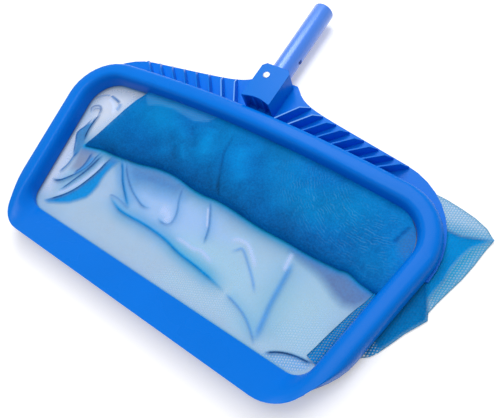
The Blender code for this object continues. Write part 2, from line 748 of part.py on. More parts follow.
def strip_section(stations, index, shift):
    """T section of a retaining strip: a flat head below the groove and a stem inside it."""
    base = stations.base(index) - CLEARANCE
    middle = stations.groove(index)
    head = STRIP_HEAD_WIDTH / 2
    stem = GROOVE_WIDTH / 2 - CLEARANCE
    top = base + CLEARANCE + STRIP_STEM
    profile = ((-head, base - STRIP_HEAD), (head, base - STRIP_HEAD), (head, base), (stem, base),
               (stem, top), (-stem, top), (-stem, base), (-head, base))
    across = stations.normal[index]
    along = Vector((-across.y, across.x)) * shift
    ring = []
    for offset, height in profile:
        plan = stations.inner[index] + across * (middle + offset) + along
        ring.append(Vector((plan.x, plan.y, height)))
    return ring


def make_strip(name, stations, first, last, look):
    """One retaining strip between two stations, kept clear of its neighbours at both ends."""
    sections = []
    for index in range(first, last + 1):
        shift = 0.0
        if index == first:
            shift = CLEARANCE / 2
        if index == last:
            shift = -CLEARANCE / 2
        sections.append(strip_section(stations, index % stations.count, shift))
    return place(name, loft(bmesh.new(), sections, False), look)


def make_strips(stations, look):
    count = stations.count
    front = FRONT_STEPS
    side = front + CORNER_STEPS
    back = side + SIDE_STEPS
    middle = back + CORNER_STEPS
    spans = (("front_strip", -front, front), ("front_right_corner_strip", front, side),
             ("right_strip", side, back), ("back_right_corner_strip", back, middle),
             ("back_strip", middle, count - middle),
             ("back_left_corner_strip", count - middle, count - back),
             ("left_strip", count - back, count - side),
             ("front_left_corner_strip", count - side, count - front))
    for name, first, last in spans:
        make_strip(name, stations, first, last, look)


# ---- Bag --------------------------------------------------------------------------------------
def tray_ring(stations, offset, height_above_base=None):
    """A ring of the bag's tray, at the floor or just under the retaining strips."""
    ring = []
    for index in range(stations.count):
        depth = stations.groove(index) - STRIP_HEAD_WIDTH / 2 + offset
        plan = stations.inner[index] + stations.normal[index] * depth
        height = 0.0
        if height_above_base is not None:
            height = stations.base(index) + height_above_base
        ring.append(Vector((plan.x, plan.y, height)))
    return ring


def bag_tray(stations):
    """The layer on the floor with its edge turned up to the retaining strips."""
    bm = bmesh.new()
    top = -CLEARANCE - STRIP_HEAD - CLEARANCE
    outside = add_ring(bm, tray_ring(stations, 2 * BAG_SHEET))
    edge_out = add_ring(bm, tray_ring(stations, 2 * BAG_SHEET, top))
    edge_in = add_ring(bm, tray_ring(stations, BAG_SHEET, top))
    floor = add_ring(bm, [point + Vector((0, 0, BAG_SHEET)) for point in tray_ring(stations, 0.0)])
    for first, second in ((outside, edge_out), (edge_out, edge_in), (edge_in, floor)):
        bridge(bm, first, second)
    bm.faces.new(outside)
    bm.faces.new(reversed(floor))
    return bm


def mouth_back_y(x):
    """Back edge of the mouth's inner outline at a distance from the middle."""
    half = inner_half()
    first = FRONT_STEPS + CORNER_STEPS + SIDE_STEPS
    for low, high in zip(half[first:], half[first + 1:]):
        if high.x <= abs(x) <= low.x:
            return mix(low.y, high.y, (low.x - abs(x)) / (low.x - high.x))
    return half[first].y


def fold_limits(share):
    """Front and back end of the folded layers at a share of the way from left to right."""
    half_width = CREST_HALF_WIDTH - RIM_HALF - BAG_FOLD_WALL_GAP
    corner_start = inner_half()[FRONT_STEPS + CORNER_STEPS + SIDE_STEPS]
    front_x = mix(BAG_FOLD_LEFT_FRONT_X, half_width + SIDE_SPLAY * BAG_FOLD_FRONT_Y, share)
    back_x = mix(BAG_FOLD_LEFT_BACK_X, corner_start.x - BAG_FOLD_WALL_GAP, share)
    bulge = BAG_FOLD_BULGE * math.exp(-((share - 0.24) / 0.13) ** 2)
    tuck = BAG_FOLD_TUCK * math.exp(-share / 0.04)
    front = Vector((front_x, BAG_FOLD_FRONT_Y + bulge - tuck))
    return front, Vector((back_x, mouth_back_y(back_x) - BAG_FOLD_WALL_GAP))


def bag_fold():
    """The folded layers across the back half of the mouth, round along their front edge."""
    sections = []
    steps = 2 * BACK_STEPS
    profile = ((0.0, BAG_SHEET / 2), (-0.012, 0.3 * BAG_FOLD_HEIGHT), (0.0, 0.62 * BAG_FOLD_HEIGHT),
               (0.07, 0.9 * BAG_FOLD_HEIGHT), (0.2, BAG_FOLD_HEIGHT), (0.6, 0.92 * BAG_FOLD_HEIGHT),
               (1.0, 0.5 * BAG_FOLD_HEIGHT), (1.0, BAG_SHEET / 2))
    for step in range(steps + 1):
        share = step / steps
        front, back = fold_limits(share)
        rise = 0.55 + 0.45 * math.sin(min(share * 4, 1) * math.pi / 2)
        ring = []
        for run, height in profile:
            plan = front.lerp(back, run)
            ring.append(Vector((plan.x, plan.y, height * rise)))
        sections.append(ring)
    return loft(bmesh.new(), sections, False)


def make_bag(stations, cloth):
    bag = place("net_bag", bag_tray(stations), cloth)
    combine(bag, tool("fold_tool", bag_fold()), "UNION")
    combine(bag, tool("flap_tool", prism(bmesh.new(), FLAP_OUTLINE, 0.0, FLAP_THICKNESS)), "UNION")
    return bag


# ---- Assembly ---------------------------------------------------------------------------------
def shift_to_origin():
    """Hang everything on one empty, so that the origin is under the middle of the mouth."""
    root = bpy.data.objects.new("floor_under_mouth", None)
    bpy.context.scene.collection.objects.link(root)
    root.location = (0, -MOUTH_MIDDLE_Y, 0)
    for item in bpy.context.scene.objects:
        if item is not root:
            item.parent = root


def build():
    clear_scene()
    blue = material("frame_plastic", FRAME_BLUE, 0.3)
    lacquer = material("handle_lacquer", TUBE_BLUE, 0.28, 0.3)
    net = material("knitted_net", NET_BLUE, 0.8)
    strip = material("strip_plastic", STRIP_BLUE, 0.45)
    white = material("cord_plastic", CORD_WHITE, 0.6)
    silver = material("rivet_aluminium", RIVET_SILVER, 0.3, 1.0)
    grey = material("mandrel_steel", MANDREL_GREY, 0.45, 1.0)
    stations = Stations()
    make_frame(stations, blue)
    make_handle(lacquer)
    make_rivet(silver, grey)
    make_hem(stations, net, white)
    make_strips(stations, strip)
    make_bag(stations, net)
    shift_to_origin()


build()
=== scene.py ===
# %% [markdown]
# # A leaf skimmer net, dressed for its portrait
#
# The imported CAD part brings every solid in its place. This lesson adds what the eye wants on top:
# the camera, soft studio light, moulded and drawn finishes, and the thin knitted net itself.
# Lengths are metres, X runs across the mouth, Y towards the handle and Z up.

# %% Load the fixed frame
import math

import bpy
import numpy as np
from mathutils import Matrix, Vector


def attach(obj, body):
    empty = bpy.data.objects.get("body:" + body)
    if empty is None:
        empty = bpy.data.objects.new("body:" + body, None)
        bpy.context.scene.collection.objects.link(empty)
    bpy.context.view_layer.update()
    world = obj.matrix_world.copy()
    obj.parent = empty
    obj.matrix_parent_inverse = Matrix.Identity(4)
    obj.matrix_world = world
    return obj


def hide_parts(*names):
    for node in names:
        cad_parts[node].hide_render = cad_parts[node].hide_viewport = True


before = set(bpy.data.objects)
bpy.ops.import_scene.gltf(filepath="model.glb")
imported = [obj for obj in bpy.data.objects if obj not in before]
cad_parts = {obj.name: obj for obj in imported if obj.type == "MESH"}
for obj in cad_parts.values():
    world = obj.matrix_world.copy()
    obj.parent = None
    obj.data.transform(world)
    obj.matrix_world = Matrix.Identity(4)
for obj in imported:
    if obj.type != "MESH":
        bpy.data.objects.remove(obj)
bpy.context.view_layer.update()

MM = 0.001

# %% [markdown]
# ## The camera
#
# The photograph looks down on the mouth from the front right, with the handle pointing away.
# Matching the outline, the mouth and the tube gave the camera's place, its turn and its lens.
#
# Operators act on what is selected, and the solids arrive selected. So `start_clean` deselects
# everything before each new thing is made, here and in the later cells.

# %% Camera
CAMERA_PLACE = (0.31504, -0.11123, 0.52831)
CAMERA_TURN = (25.0124, 14.5691, 33.8995)       # degrees about X, Y and Z
LENS = 36.2837                                  # millimetres
NEAREST_SEEN = 10 * MM


def start_clean():
    if bpy.context.object and bpy.context.object.mode != "OBJECT":
        bpy.ops.object.mode_set(mode="OBJECT")
    bpy.ops.object.select_all(action="DESELECT")


start_clean()
bpy.ops.object.camera_add(location=CAMERA_PLACE,
                          rotation=[math.radians(angle) for angle in CAMERA_TURN])
camera = bpy.context.object
camera.name = "photo_camera"
camera.data.lens = LENS
camera.data.clip_start = NEAREST_SEEN
bpy.context.scene.camera = camera
print("camera height, mm:", round(camera.location.z / MM))

# %% [markdown]
# ## The studio
#
# Materials and the studio's air are built from nodes, so their helpers come first. Colours are
# written as the hex values that an image program shows, and `colour` turns them into the linear
# numbers that the renderer works with. `add` puts one node in a tree, sets its values and links
# its inputs. Where a link's source is a whole node, its first output is meant.

# %% Helpers for nodes
def colour(hexadecimal):
    linear = []
    for first in (0, 2, 4):
        value = int(hexadecimal[first:first + 2], 16) / 255
        linear.append(value / 12.92 if value <= 0.04045 else ((value + 0.055) / 1.055) ** 2.4)
    return (*linear, 1)


def connect(tree, node, links):
    for name, source in links.items():
        tree.links.new(getattr(source, "outputs", [source])[0], node.inputs[name])


def add(tree, kind, settings=None, links=None):
    node = tree.nodes.new(kind)
    for name, value in (settings or {}).items():
        if isinstance(name, int) or name in node.inputs:
            node.inputs[name].default_value = value
        else:
            setattr(node, name, value)
    connect(tree, node, links or {})
    return node


def new_material(name):
    made = bpy.data.materials.new(name)
    made.use_nodes = True
    tree = made.node_tree
    return made, tree, tree.nodes["Principled BSDF"]


WHITE, BLACK = colour("ffffff"), colour("000000")
print("middle grey in linear numbers:", round(colour("808080")[0], 3))

# %% [markdown]
# The air is a weak white light from all sides, which fills the shadows. What the camera sees
# straight, in a reflection or through glass is white at full strength instead. The Light Path node
# tells such rays from those that only carry light to the object.

# %% Studio air
AIR_LIGHT = 0.33
scene = bpy.context.scene
scene.view_settings.view_transform = "Standard"


def sees_background(tree):
    """1 for a ray from the camera, a reflection or glass, and 0 for any other."""
    path = add(tree, "ShaderNodeLightPath").outputs
    straight = add(tree, "ShaderNodeMath", {"operation": "MAXIMUM"},
                   {0: path["Is Camera Ray"], 1: path["Is Transmission Ray"]})
    return add(tree, "ShaderNodeMath", {"operation": "MAXIMUM"},
               {0: straight, 1: path["Is Glossy Ray"]})


world = bpy.data.worlds.new("studio_air")
scene.world = world
world.use_nodes = True
air = world.node_tree
light = air.nodes["Background"]
light.inputs["Color"].default_value = WHITE
light.inputs["Strength"].default_value = AIR_LIGHT
backdrop = add(air, "ShaderNodeBackground", {"Color": WHITE, "Strength": 1})
shown = add(air, "ShaderNodeMixShader", None, {0: sees_background(air), 1: light, 2: backdrop})
connect(air, air.nodes["World Output"], {"Surface": shown})
print("nodes in the air:", len(air.nodes))

# %% [markdown]
# The object lies on a wide sheet of matt white paper. The paper takes the object's shadow as any
# paper does, and adds a little light of its own to what the camera sees, so that it reads as white.

# %% Paper floor
FLOOR_SIZE = 8                  # metres, so that its edges lie far off
FLOOR_Z = -0.2 * MM             # just under the bag, so that the two don't meet
PAPER_GLOW = 0.29

start_clean()
bpy.ops.mesh.primitive_plane_add(size=FLOOR_SIZE, location=(0, 0, FLOOR_Z))
floor = bpy.context.object
floor.name = "paper_floor"
paper, tree, shader = new_material("white_paper_matt")
tree.nodes.remove(shader)
matt = add(tree, "ShaderNodeBsdfDiffuse", {"Color": colour("f4f4f7")})
dark = add(tree, "ShaderNodeEmission", {"Color": BLACK, "Strength": 0})
glow = add(tree, "ShaderNodeEmission", {"Color": WHITE, "Strength": PAPER_GLOW})
lift = add(tree, "ShaderNodeMixShader", None, {0: sees_background(tree), 1: dark, 2: glow})
both = add(tree, "ShaderNodeAddShader", None, {0: matt, 1: lift})
connect(tree, tree.nodes["Material Output"], {"Surface": both})
floor.data.materials.append(paper)
print("paper, m:", [round(side, 2) for side in floor.dimensions[:2]])

# %% [markdown]
# Four soft lamps give the even light of a catalogue picture. A softbox hangs overhead, a large and
# a small window stand at the back left and draw the rim's highlights, and a weak wide lamp in
# front fills the shadows.

# %% Lamps
def lamp(name, place, aim, size, watts):
    start_clean()
    bpy.ops.object.light_add(type="AREA", location=place)
    made = bpy.context.object
    made.name = name
    made.data.shape = "RECTANGLE"
    made.data.size, made.data.size_y = size
    made.data.energy = watts
    made.rotation_euler = (Vector(aim) - Vector(place)).to_track_quat("-Z", "Y").to_euler()


lamp("overhead_softbox", (0, 0.2, 1.55), (0, 0.05, 0), (0.7, 0.7), 7)
lamp("window_back_left", (-0.28, 1, 1.45), (0, 0.1, 0), (1, 0.85), 13)
lamp("window_left", (-0.78, 1.03, 1.26), (0, 0.2, 0), (0.5, 0.5), 2.6)
lamp("fill_front", (0.9, -0.9, 1.4), (0, 0, 0), (1.6, 1.6), 2)

# %% [markdown]
# ## Finishes
#
# The frame is polypropylene: a waxy plastic with an even satin skin from the mould, IOR about 1.49. A
# very fine spark-eroded grain breaks up the gloss, and the tone drifts a little from place to place.
# Some thin edges get a painted highlight, a paler blue in their colour where they would catch the
# light. An attribute on the mesh says where, and is nought where it is missing.

# %% Moulded polypropylene
GRAIN = 0.9 * MM                # the real grain is about 0.1 mm, and is drawn coarser to show
DRIFT = 71.4 * MM               # size of the slow changes in tone and gloss
TONE_DRIFT = (0.93, 1.06)
GLOSS_DRIFT = (-0.05, 0.08)


def moulded_plastic(name, hexadecimal, roughness, grain_height):
    made, tree, shader = new_material(name)
    place = add(tree, "ShaderNodeTexCoord").outputs["Object"]
    grain = add(tree, "ShaderNodeTexNoise", {"Scale": 1 / GRAIN, "Detail": 2}, {"Vector": place})
    drift = add(tree, "ShaderNodeTexNoise", {"Scale": 1 / DRIFT, "Detail": 3}, {"Vector": place})
    gloss = add(tree, "ShaderNodeMapRange", {"To Min": roughness + GLOSS_DRIFT[0],
                                             "To Max": roughness + GLOSS_DRIFT[1]}, {"Value": drift})
    tones = add(tree, "ShaderNodeValToRGB", None, {"Fac": drift})
    for stop, strength in zip(tones.color_ramp.elements, TONE_DRIFT):
        stop.color = [min(channel * strength, 1) for channel in colour(hexadecimal)[:3]] + [1]
    # painted highlight: the attribute mixes in the paler blue below, standing in for light caught on
    # thin edges
    painted_highlight = add(tree, "ShaderNodeAttribute", {"attribute_name": "painted_highlight"}).outputs["Fac"]
    skin = add(tree, "ShaderNodeMix", {"data_type": "RGBA", 7: colour("8cc4ff")},
               {0: painted_highlight, 6: tones})
    bump = add(tree, "ShaderNodeBump", {"Strength": 0.25, "Distance": grain_height},
               {"Height": grain})
    shader.inputs["IOR"].default_value = 1.49
    shader.inputs["Specular IOR Level"].default_value = 0.09
    connect(tree, shader, {"Base Color": skin.outputs[2], "Roughness": gloss, "Normal": bump})
    return made


frame_plastic = moulded_plastic("blue_polypropylene_moulded", "0076e2", 0.26, 0.04 * MM)
strip_plastic = moulded_plastic("blue_polypropylene_extruded", "005fc8", 0.4, 0.03 * MM)
cord_plastic = moulded_plastic("white_polyethylene_cord", "dfe4ea", 0.5, 0.05 * MM)
print("plastics:", frame_plastic.name, strip_plastic.name, cord_plastic.name)

# %% [markdown]
# ## The frame
#
# The frame's solid is right, so its own faces are used. They arrive as loose triangles, so a copy
# is merged first and flat areas are joined into clean faces. The solid itself isn't touched.

# %% Frame moulding, merged
MERGE = 0.01 * MM
FLAT_ANGLE = math.radians(0.5)


def make_active(piece):
    start_clean()
    piece.select_set(True)
    bpy.context.view_layer.objects.active = piece


def merged_copy(node, name):
    """A clean copy of a solid, without the solid's notes on what it is."""
    start_clean()
    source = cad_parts[node]
    made = source.copy()
    made.data = source.data.copy()
    for key in list(made.keys()):
        del made[key]
    made.parent = None
    scene.collection.objects.link(made)
    made.name = made.data.name = name
    make_active(made)
    if made.data.has_custom_normals:
        bpy.ops.mesh.customdata_custom_splitnormals_clear()
    bpy.ops.object.mode_set(mode="EDIT")
    bpy.ops.mesh.select_all(action="SELECT")
    bpy.ops.mesh.remove_doubles(threshold=MERGE)
    bpy.ops.mesh.dissolve_limited(angle_limit=FLAT_ANGLE)
    bpy.ops.object.mode_set(mode="OBJECT")
    return made


moulding = merged_copy("frame", "frame_moulding")
print("frame faces, merged:", len(moulding.data.polygons))

# %% [markdown]
# A mould tool cores out thick plastic. So three pockets are cut in the socket's front, under its
# roof, and two webs are left between them. Each cutter is a plain block that goes after its cut.

# %% Core pockets
POCKETS = 3
POCKET_WIDTH, WEB = 11.4 * MM, 1.6 * MM
POCKET_FRONT, POCKET_DEPTH = 139 * MM, 10.5 * MM
POCKET_LOW, POCKET_ROOF = 7 * MM, 34.4 * MM

for index in range(POCKETS):
    start_clean()
    side = (index - (POCKETS - 1) / 2) * (POCKET_WIDTH + WEB)
    bpy.ops.mesh.primitive_cube_add(
        size=1, scale=(POCKET_WIDTH, POCKET_DEPTH, POCKET_ROOF - POCKET_LOW),
        location=(side, POCKET_FRONT + POCKET_DEPTH / 2, (POCKET_ROOF + POCKET_LOW) / 2))
    core = bpy.context.object
    make_active(moulding)
    cut = moulding.modifiers.new("core_pocket", "BOOLEAN")
    cut.object, cut.operation, cut.solver = core, "DIFFERENCE", "EXACT"
    bpy.ops.object.modifier_apply(modifier=cut.name)
    bpy.data.objects.remove(core)
print("core pockets:", POCKETS, "faces:", len(moulding.data.polygons))

# %% [markdown]
# A small bevel rounds the edges as the mould's tool did, and weighted normals keep the flat panels
# flat beside it.

# %% Rounded edges
EDGE_ROUND = 0.45 * MM
SMOOTH_ANGLE = math.radians(32)

round_edges = moulding.modifiers.new("mould_radius", "BEVEL")
round_edges.width = EDGE_ROUND
round_edges.segments = 2
round_edges.limit_method = "ANGLE"
round_edges.angle_limit = SMOOTH_ANGLE
round_edges.use_clamp_overlap = True
bpy.ops.object.modifier_apply(modifier=round_edges.name)
bpy.ops.object.shade_smooth_by_angle(angle=SMOOTH_ANGLE)
flat_panels = moulding.modifiers.new("flat_panels", "WEIGHTED_NORMAL")
flat_panels.keep_sharp = True
bpy.ops.object.modifier_apply(modifier=flat_panels.name)
print("frame faces, rounded:", len(moulding.data.polygons))

# %% [markdown]
# The top edges of the yoke's ribs get the painted highlight: a paler colour that stands in for the
# light they catch. They are the long narrow faces behind the rim that look up and run more from front
# to back than across. The socket's own are left out.

# %% Painted highlight on rib edges
YOKE_FROM_Y, RIB_LOWEST = 108 * MM, 11 * MM
RIB_EDGE_WIDTH, RIB_EDGE_LENGTH = 2.2 * MM, 6 * MM
RIB_EDGE_LEAN = 1.2             # how many times further back than across it runs
RIB_EDGE_UP = 0.35              # how far its normal points up
SOCKET_HALF_WIDTH = 24 * MM
# how far the rib tops move towards the paler blue of the painted highlight
PAINTED_HIGHLIGHT_SHARE = 0.55

painted_highlight = moulding.data.attributes.new("painted_highlight", "FLOAT", "FACE")
for face in moulding.data.polygons:
    corners = [moulding.data.vertices[index].co for index in face.vertices]
    long_edge = max((corners[index] - corners[index - 1] for index in range(len(corners))),
                    key=lambda edge: edge.length)
    narrow = face.area < RIB_EDGE_WIDTH * long_edge.length and long_edge.length > RIB_EDGE_LENGTH
    lengthwise = abs(long_edge.y) > RIB_EDGE_LEAN * abs(long_edge.x)
    on_yoke = face.center.y > YOKE_FROM_Y and face.center.z > RIB_LOWEST
    beside_socket = abs(face.center.x) > SOCKET_HALF_WIDTH
    if narrow and lengthwise and on_yoke and beside_socket and face.normal.z > RIB_EDGE_UP:
        painted_highlight.data[face.index].value = PAINTED_HIGHLIGHT_SHARE
print("rubbed rib edges:", sum(item.value > 0 for item in painted_highlight.data))

# %% [markdown]
# A finished piece gets its material and rides on its body, and the solid it stands for is hidden.

# %% Frame moulding, finished
def dress(piece, material, node):
    piece.data.materials.clear()
    piece.data.materials.append(material)
    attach(piece, "root")
    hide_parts(node)
    print(piece.name, "faces:", len(piece.data.polygons))


dress(moulding, frame_plastic, "frame")

# %% [markdown]
# ## Metals
#
# The tube is drawn aluminium, so it carries fine lines along its length, under a clear blue
# lacquer that keeps a sharper gloss of its own. The blind rivet is bright pressed aluminium, and
# the stub of its mandrel is grey steel, torn where it snapped. The three shapes are small and
# right already, so their own faces are used.

# %% Drawn and pressed metal
STREAK = 0.7 * MM               # the real lines are finer, and are drawn wider to show
STREAK_HEIGHT = 0.02 * MM
STREAK_GLOSS = (-0.06, 0.1)
STREAK_TONE = 0.82              # how bright the metal between the streaks is beside them


def bright_metal(name, hexadecimal, metallic, roughness, run_length, lacquer=0):
    """Metal with streaks along Y that are run_length times longer than they are wide."""
    made, tree, shader = new_material(name)
    place = add(tree, "ShaderNodeTexCoord").outputs["Object"]
    along = add(tree, "ShaderNodeMapping",
                {"Scale": (1 / STREAK, 1 / (STREAK * run_length), 1 / STREAK)}, {"Vector": place})
    lines = add(tree, "ShaderNodeTexNoise", {"Scale": 1, "Detail": 3}, {"Vector": along})
    gloss = add(tree, "ShaderNodeMapRange", {"To Min": roughness + STREAK_GLOSS[0],
                                             "To Max": roughness + STREAK_GLOSS[1]}, {"Value": lines})
    bump = add(tree, "ShaderNodeBump", {"Strength": 0.3, "Distance": STREAK_HEIGHT},
               {"Height": lines})
    base = colour(hexadecimal)
    darker = [channel * STREAK_TONE for channel in base[:3]] + [1]
    metal = add(tree, "ShaderNodeMix", {"data_type": "RGBA", 6: darker, 7: base}, {0: lines})
    shader.inputs["Metallic"].default_value = metallic
    shader.inputs["Coat Weight"].default_value = lacquer
    shader.inputs["Coat Roughness"].default_value = 0.26
    connect(tree, shader, {"Base Color": metal.outputs[2], "Roughness": gloss, "Normal": bump})
    return made


tube_metal = bright_metal("aluminium_tube_drawn_blue_lacquered", "1a7cee", 0.1, 0.36, 60, 1)
rivet_metal = bright_metal("aluminium_bright_pressed", "dde2e8", 1, 0.36, 2)
stub_metal = bright_metal("steel_pulled", "54585e", 1, 0.45, 1)
print("metals:", tube_metal.name, rivet_metal.name, stub_metal.name)

# %% Handle tube and rivet
for node, metal, slot in (("handle_tube", tube_metal, "handle_lacquer"),
                          ("rivet_body", rivet_metal, "rivet_aluminium"),
                          ("rivet_mandrel", stub_metal, "mandrel_steel")):
    made = merged_copy(node, node + "_fine")
    bpy.ops.object.shade_smooth_by_angle(angle=SMOOTH_ANGLE)
    dress(made, metal, node)

# %% [markdown]
# ## The net
#
# The bag is a warp knit of thin blue polyester yarn, open enough for water to run through. One
# layer over white paper looks pale, because the paper shows between the yarns. Where the cloth
# lies in several layers, or is crushed in a crease, the gaps close and it turns deep blue.
#
# A picture of cloth could be stuck on, but it would not follow the folds. Here each sheet carries
# its own notes in two mesh attributes. `weave` says how closely the yarns cover, how deep the
# tone is and how plainly the knit shows. `tint` says where crossed layers ripple, where the yarn
# looks greener, and where it turns a neutral grey. One material reads those notes on every sheet.

# %% Net, its notes
WEAVE_NOTES = ("cover", "tone", "knit")
TINT_NOTES = ("ripple", "green", "neutral")

net, tree, shader = new_material("polyester_net_warp_knitted")
place = add(tree, "ShaderNodeTexCoord").outputs["Object"]
weave = add(tree, "ShaderNodeAttribute", {"attribute_name": "weave"}).outputs["Vector"]
tint = add(tree, "ShaderNodeAttribute", {"attribute_name": "tint"}).outputs["Vector"]
cover, tone, knit = add(tree, "ShaderNodeSeparateXYZ", None, {0: weave}).outputs
ripple, green, neutral = add(tree, "ShaderNodeSeparateXYZ", None, {0: tint}).outputs
print("notes that the net reads:", WEAVE_NOTES + TINT_NOTES)

# %% [markdown]
# The real stitches are under a millimetre apart, finer than this picture can show, so the knit is
# drawn at 2.7 mm, the finest that still reads as a net. Two sets of slanting yarns cross in it and
# leave diamond holes. A slow noise bends both sets a little, because cloth never lies quite straight.

# %% Net, its crossed yarns
STITCH = 2.7 * MM
STITCH_LEAN = 31                # degrees by which each set of yarns leans off the cloth's run
CLOTH_RUN = 33                  # degrees between the cloth's run and X
WANDER, WANDER_SIZE = 7 * MM, 45 * MM
HOLE_LEVEL = 0.72               # a higher level opens the holes wider


def wave_scale(size):
    """Blender's wave texture repeats every tau / 20 at scale 1."""
    return math.tau / (20 * size)


wander = add(tree, "ShaderNodeTexNoise", {"Scale": 1 / WANDER_SIZE, "Detail": 1}, {"Vector": place})
shift = add(tree, "ShaderNodeVectorMath", {"operation": "SCALE", "Scale": WANDER},
            {0: wander.outputs["Color"]})
bent = add(tree, "ShaderNodeVectorMath", {"operation": "ADD"}, {0: place, 1: shift})


def yarns(lean):
    turned = add(tree, "ShaderNodeMapping", {"Rotation": (0, 0, math.radians(CLOTH_RUN + lean))},
                 {"Vector": bent})
    return add(tree, "ShaderNodeTexWave", {"Scale": wave_scale(STITCH)},
               {"Vector": turned}).outputs["Fac"]


crossed = add(tree, "ShaderNodeMath", {"operation": "MAXIMUM"},
              {0: yarns(STITCH_LEAN), 1: yarns(-STITCH_LEAN)})
between = add(tree, "ShaderNodeMath", {"operation": "SUBTRACT", 0: HOLE_LEVEL}, {1: crossed})
holes = add(tree, "ShaderNodeMath", {"operation": "MULTIPLY"}, {0: between, 1: knit})
seen_through = add(tree, "ShaderNodeMath", {"operation": "SUBTRACT", "use_clamp": True},
                   {0: cover, 1: holes})
print("stitch, mm:", round(STITCH / MM, 1))

# %% [markdown]
# The note for tone picks a blue from pale to deep. Soft clouds and small speckles shift it, as
# uneven layers do. The second ramp gives the greyer colours of cloth that lies in its own shadow.

# %% Net, its colours
CLOUD, SPECKLE = 34 * MM, 2.4 * MM
MOTTLE = 0.07
BLUES = ((0, "008fe6"), (0.15, "0096f2"), (0.3, "0090e0"), (0.5, "007ccc"), (0.7, "0064b0"),
         (0.85, "005094"), (1, "003468"))
GREYS = ((0, "cfc7c6"), (1, "34486f"))

depth = tone
for size, detail, roughness, reach, change in ((CLOUD, 3, 0.6, 0.2, MOTTLE),
                                               (SPECKLE, 2, 0.7, 0.15, -MOTTLE)):
    spots = add(tree, "ShaderNodeTexNoise", {"Scale": 1 / size, "Detail": detail,
                                             "Roughness": roughness}, {"Vector": place})
    spots = add(tree, "ShaderNodeMapRange", {"From Min": 0.5 - reach, "From Max": 0.5 + reach,
                                             "To Min": -change, "To Max": change}, {"Value": spots})
    depth = add(tree, "ShaderNodeMath", {"operation": "ADD"}, {0: depth, 1: spots})

blues = add(tree, "ShaderNodeValToRGB", None, {"Fac": depth})
greys = add(tree, "ShaderNodeValToRGB", None, {"Fac": tone})
for shades, stops in ((blues, BLUES), (greys, GREYS)):
    first, *middle, last = stops
    elements = shades.color_ramp.elements
    elements[0].color, elements[1].color = colour(first[1]), colour(last[1])
    for position, hexadecimal in middle:
        elements.new(position).color = colour(hexadecimal)
yarn = add(tree, "ShaderNodeMix", {"data_type": "RGBA", 7: colour("00b4cc")}, {0: green, 6: blues})
yarn = add(tree, "ShaderNodeMix", {"data_type": "RGBA"},
           {0: neutral, 6: yarn.outputs[2], 7: greys}).outputs[2]
print("blues:", len(BLUES), "greys:", len(GREYS))

# %% [markdown]
# Where layers cross, their yarns beat against each other in fine broken ripples. Rings round a
# point on the folded layers follow the run of those in the photograph. Ripples and the yarns round
# a hole catch the light, so both are paler.

# %% Net, its ripples and finish
RIPPLE = 3.4 * MM
RIPPLE_BREAK = 8 * MM
RIPPLE_CENTRE = (0.2, 0.14, 0)
YARN_LIT_FROM = 0.08

rings = add(tree, "ShaderNodeMapping", {"Location": [-value for value in RIPPLE_CENTRE]},
            {"Vector": place})
waves = add(tree, "ShaderNodeTexWave",
            {"wave_type": "RINGS", "rings_direction": "Z", "Scale": wave_scale(RIPPLE),
             "Distortion": 6, "Detail": 1, "Detail Scale": 1.4}, {"Vector": rings})
crests = add(tree, "ShaderNodeMapRange", {"From Min": 0.55, "From Max": 1},
             {"Value": waves.outputs["Fac"]})
breaks = add(tree, "ShaderNodeTexNoise", {"Scale": 1 / RIPPLE_BREAK, "Detail": 1},
             {"Vector": place})
breaks = add(tree, "ShaderNodeMapRange", {"From Min": 0.42, "From Max": 0.65}, {"Value": breaks})
streaks = add(tree, "ShaderNodeMath", {"operation": "MULTIPLY"}, {0: crests, 1: breaks})
streaks = add(tree, "ShaderNodeMath", {"operation": "MULTIPLY"}, {0: streaks, 1: ripple})
lit = add(tree, "ShaderNodeMath", {"operation": "SUBTRACT", "use_clamp": True, 1: YARN_LIT_FROM},
          {0: holes})
lit = add(tree, "ShaderNodeMath", {"operation": "MAXIMUM"}, {0: lit, 1: streaks})
cloth = add(tree, "ShaderNodeMix", {"data_type": "RGBA", 7: colour("74bce6")}, {0: lit, 6: yarn})
shader.inputs["Roughness"].default_value = 0.6
shader.inputs["Specular IOR Level"].default_value = 0.02
connect(tree, shader, {"Base Color": cloth.outputs[2], "Alpha": seen_through})
print("nodes in the net:", len(tree.nodes))

# %% [markdown]
# ## How a sheet is laid
#
# Each sheet starts as a flat grid. Its four borders are laid on lines over the model, and the
# inside follows, as a cloth does when it is pulled by its edges. The lines were read off in
# millimetres.

# %% Sheets, stretched between lines
def mm(points):
    return np.array(points, float) * MM


def resampled(line, count):
    """Points at even steps along a line."""
    steps = np.linalg.norm(np.diff(line, axis=0), axis=1)
    run = np.concatenate([[0], np.cumsum(steps)])
    wanted = np.linspace(0, run[-1], count)
    return np.stack([np.interp(wanted, run, line[:, axis]) for axis in (0, 1)], axis=1)


def smoothed(line, rounds=2):
    """Corner cutting, which keeps both ends."""
    for _ in range(rounds):
        near = line[:-1] * 0.75 + line[1:] * 0.25
        far = line[:-1] * 0.25 + line[1:] * 0.75
        middle = np.stack([near, far], axis=1).reshape(-1, 2)
        line = np.concatenate([line[:1], middle[1:-1], line[-1:]])
    return line


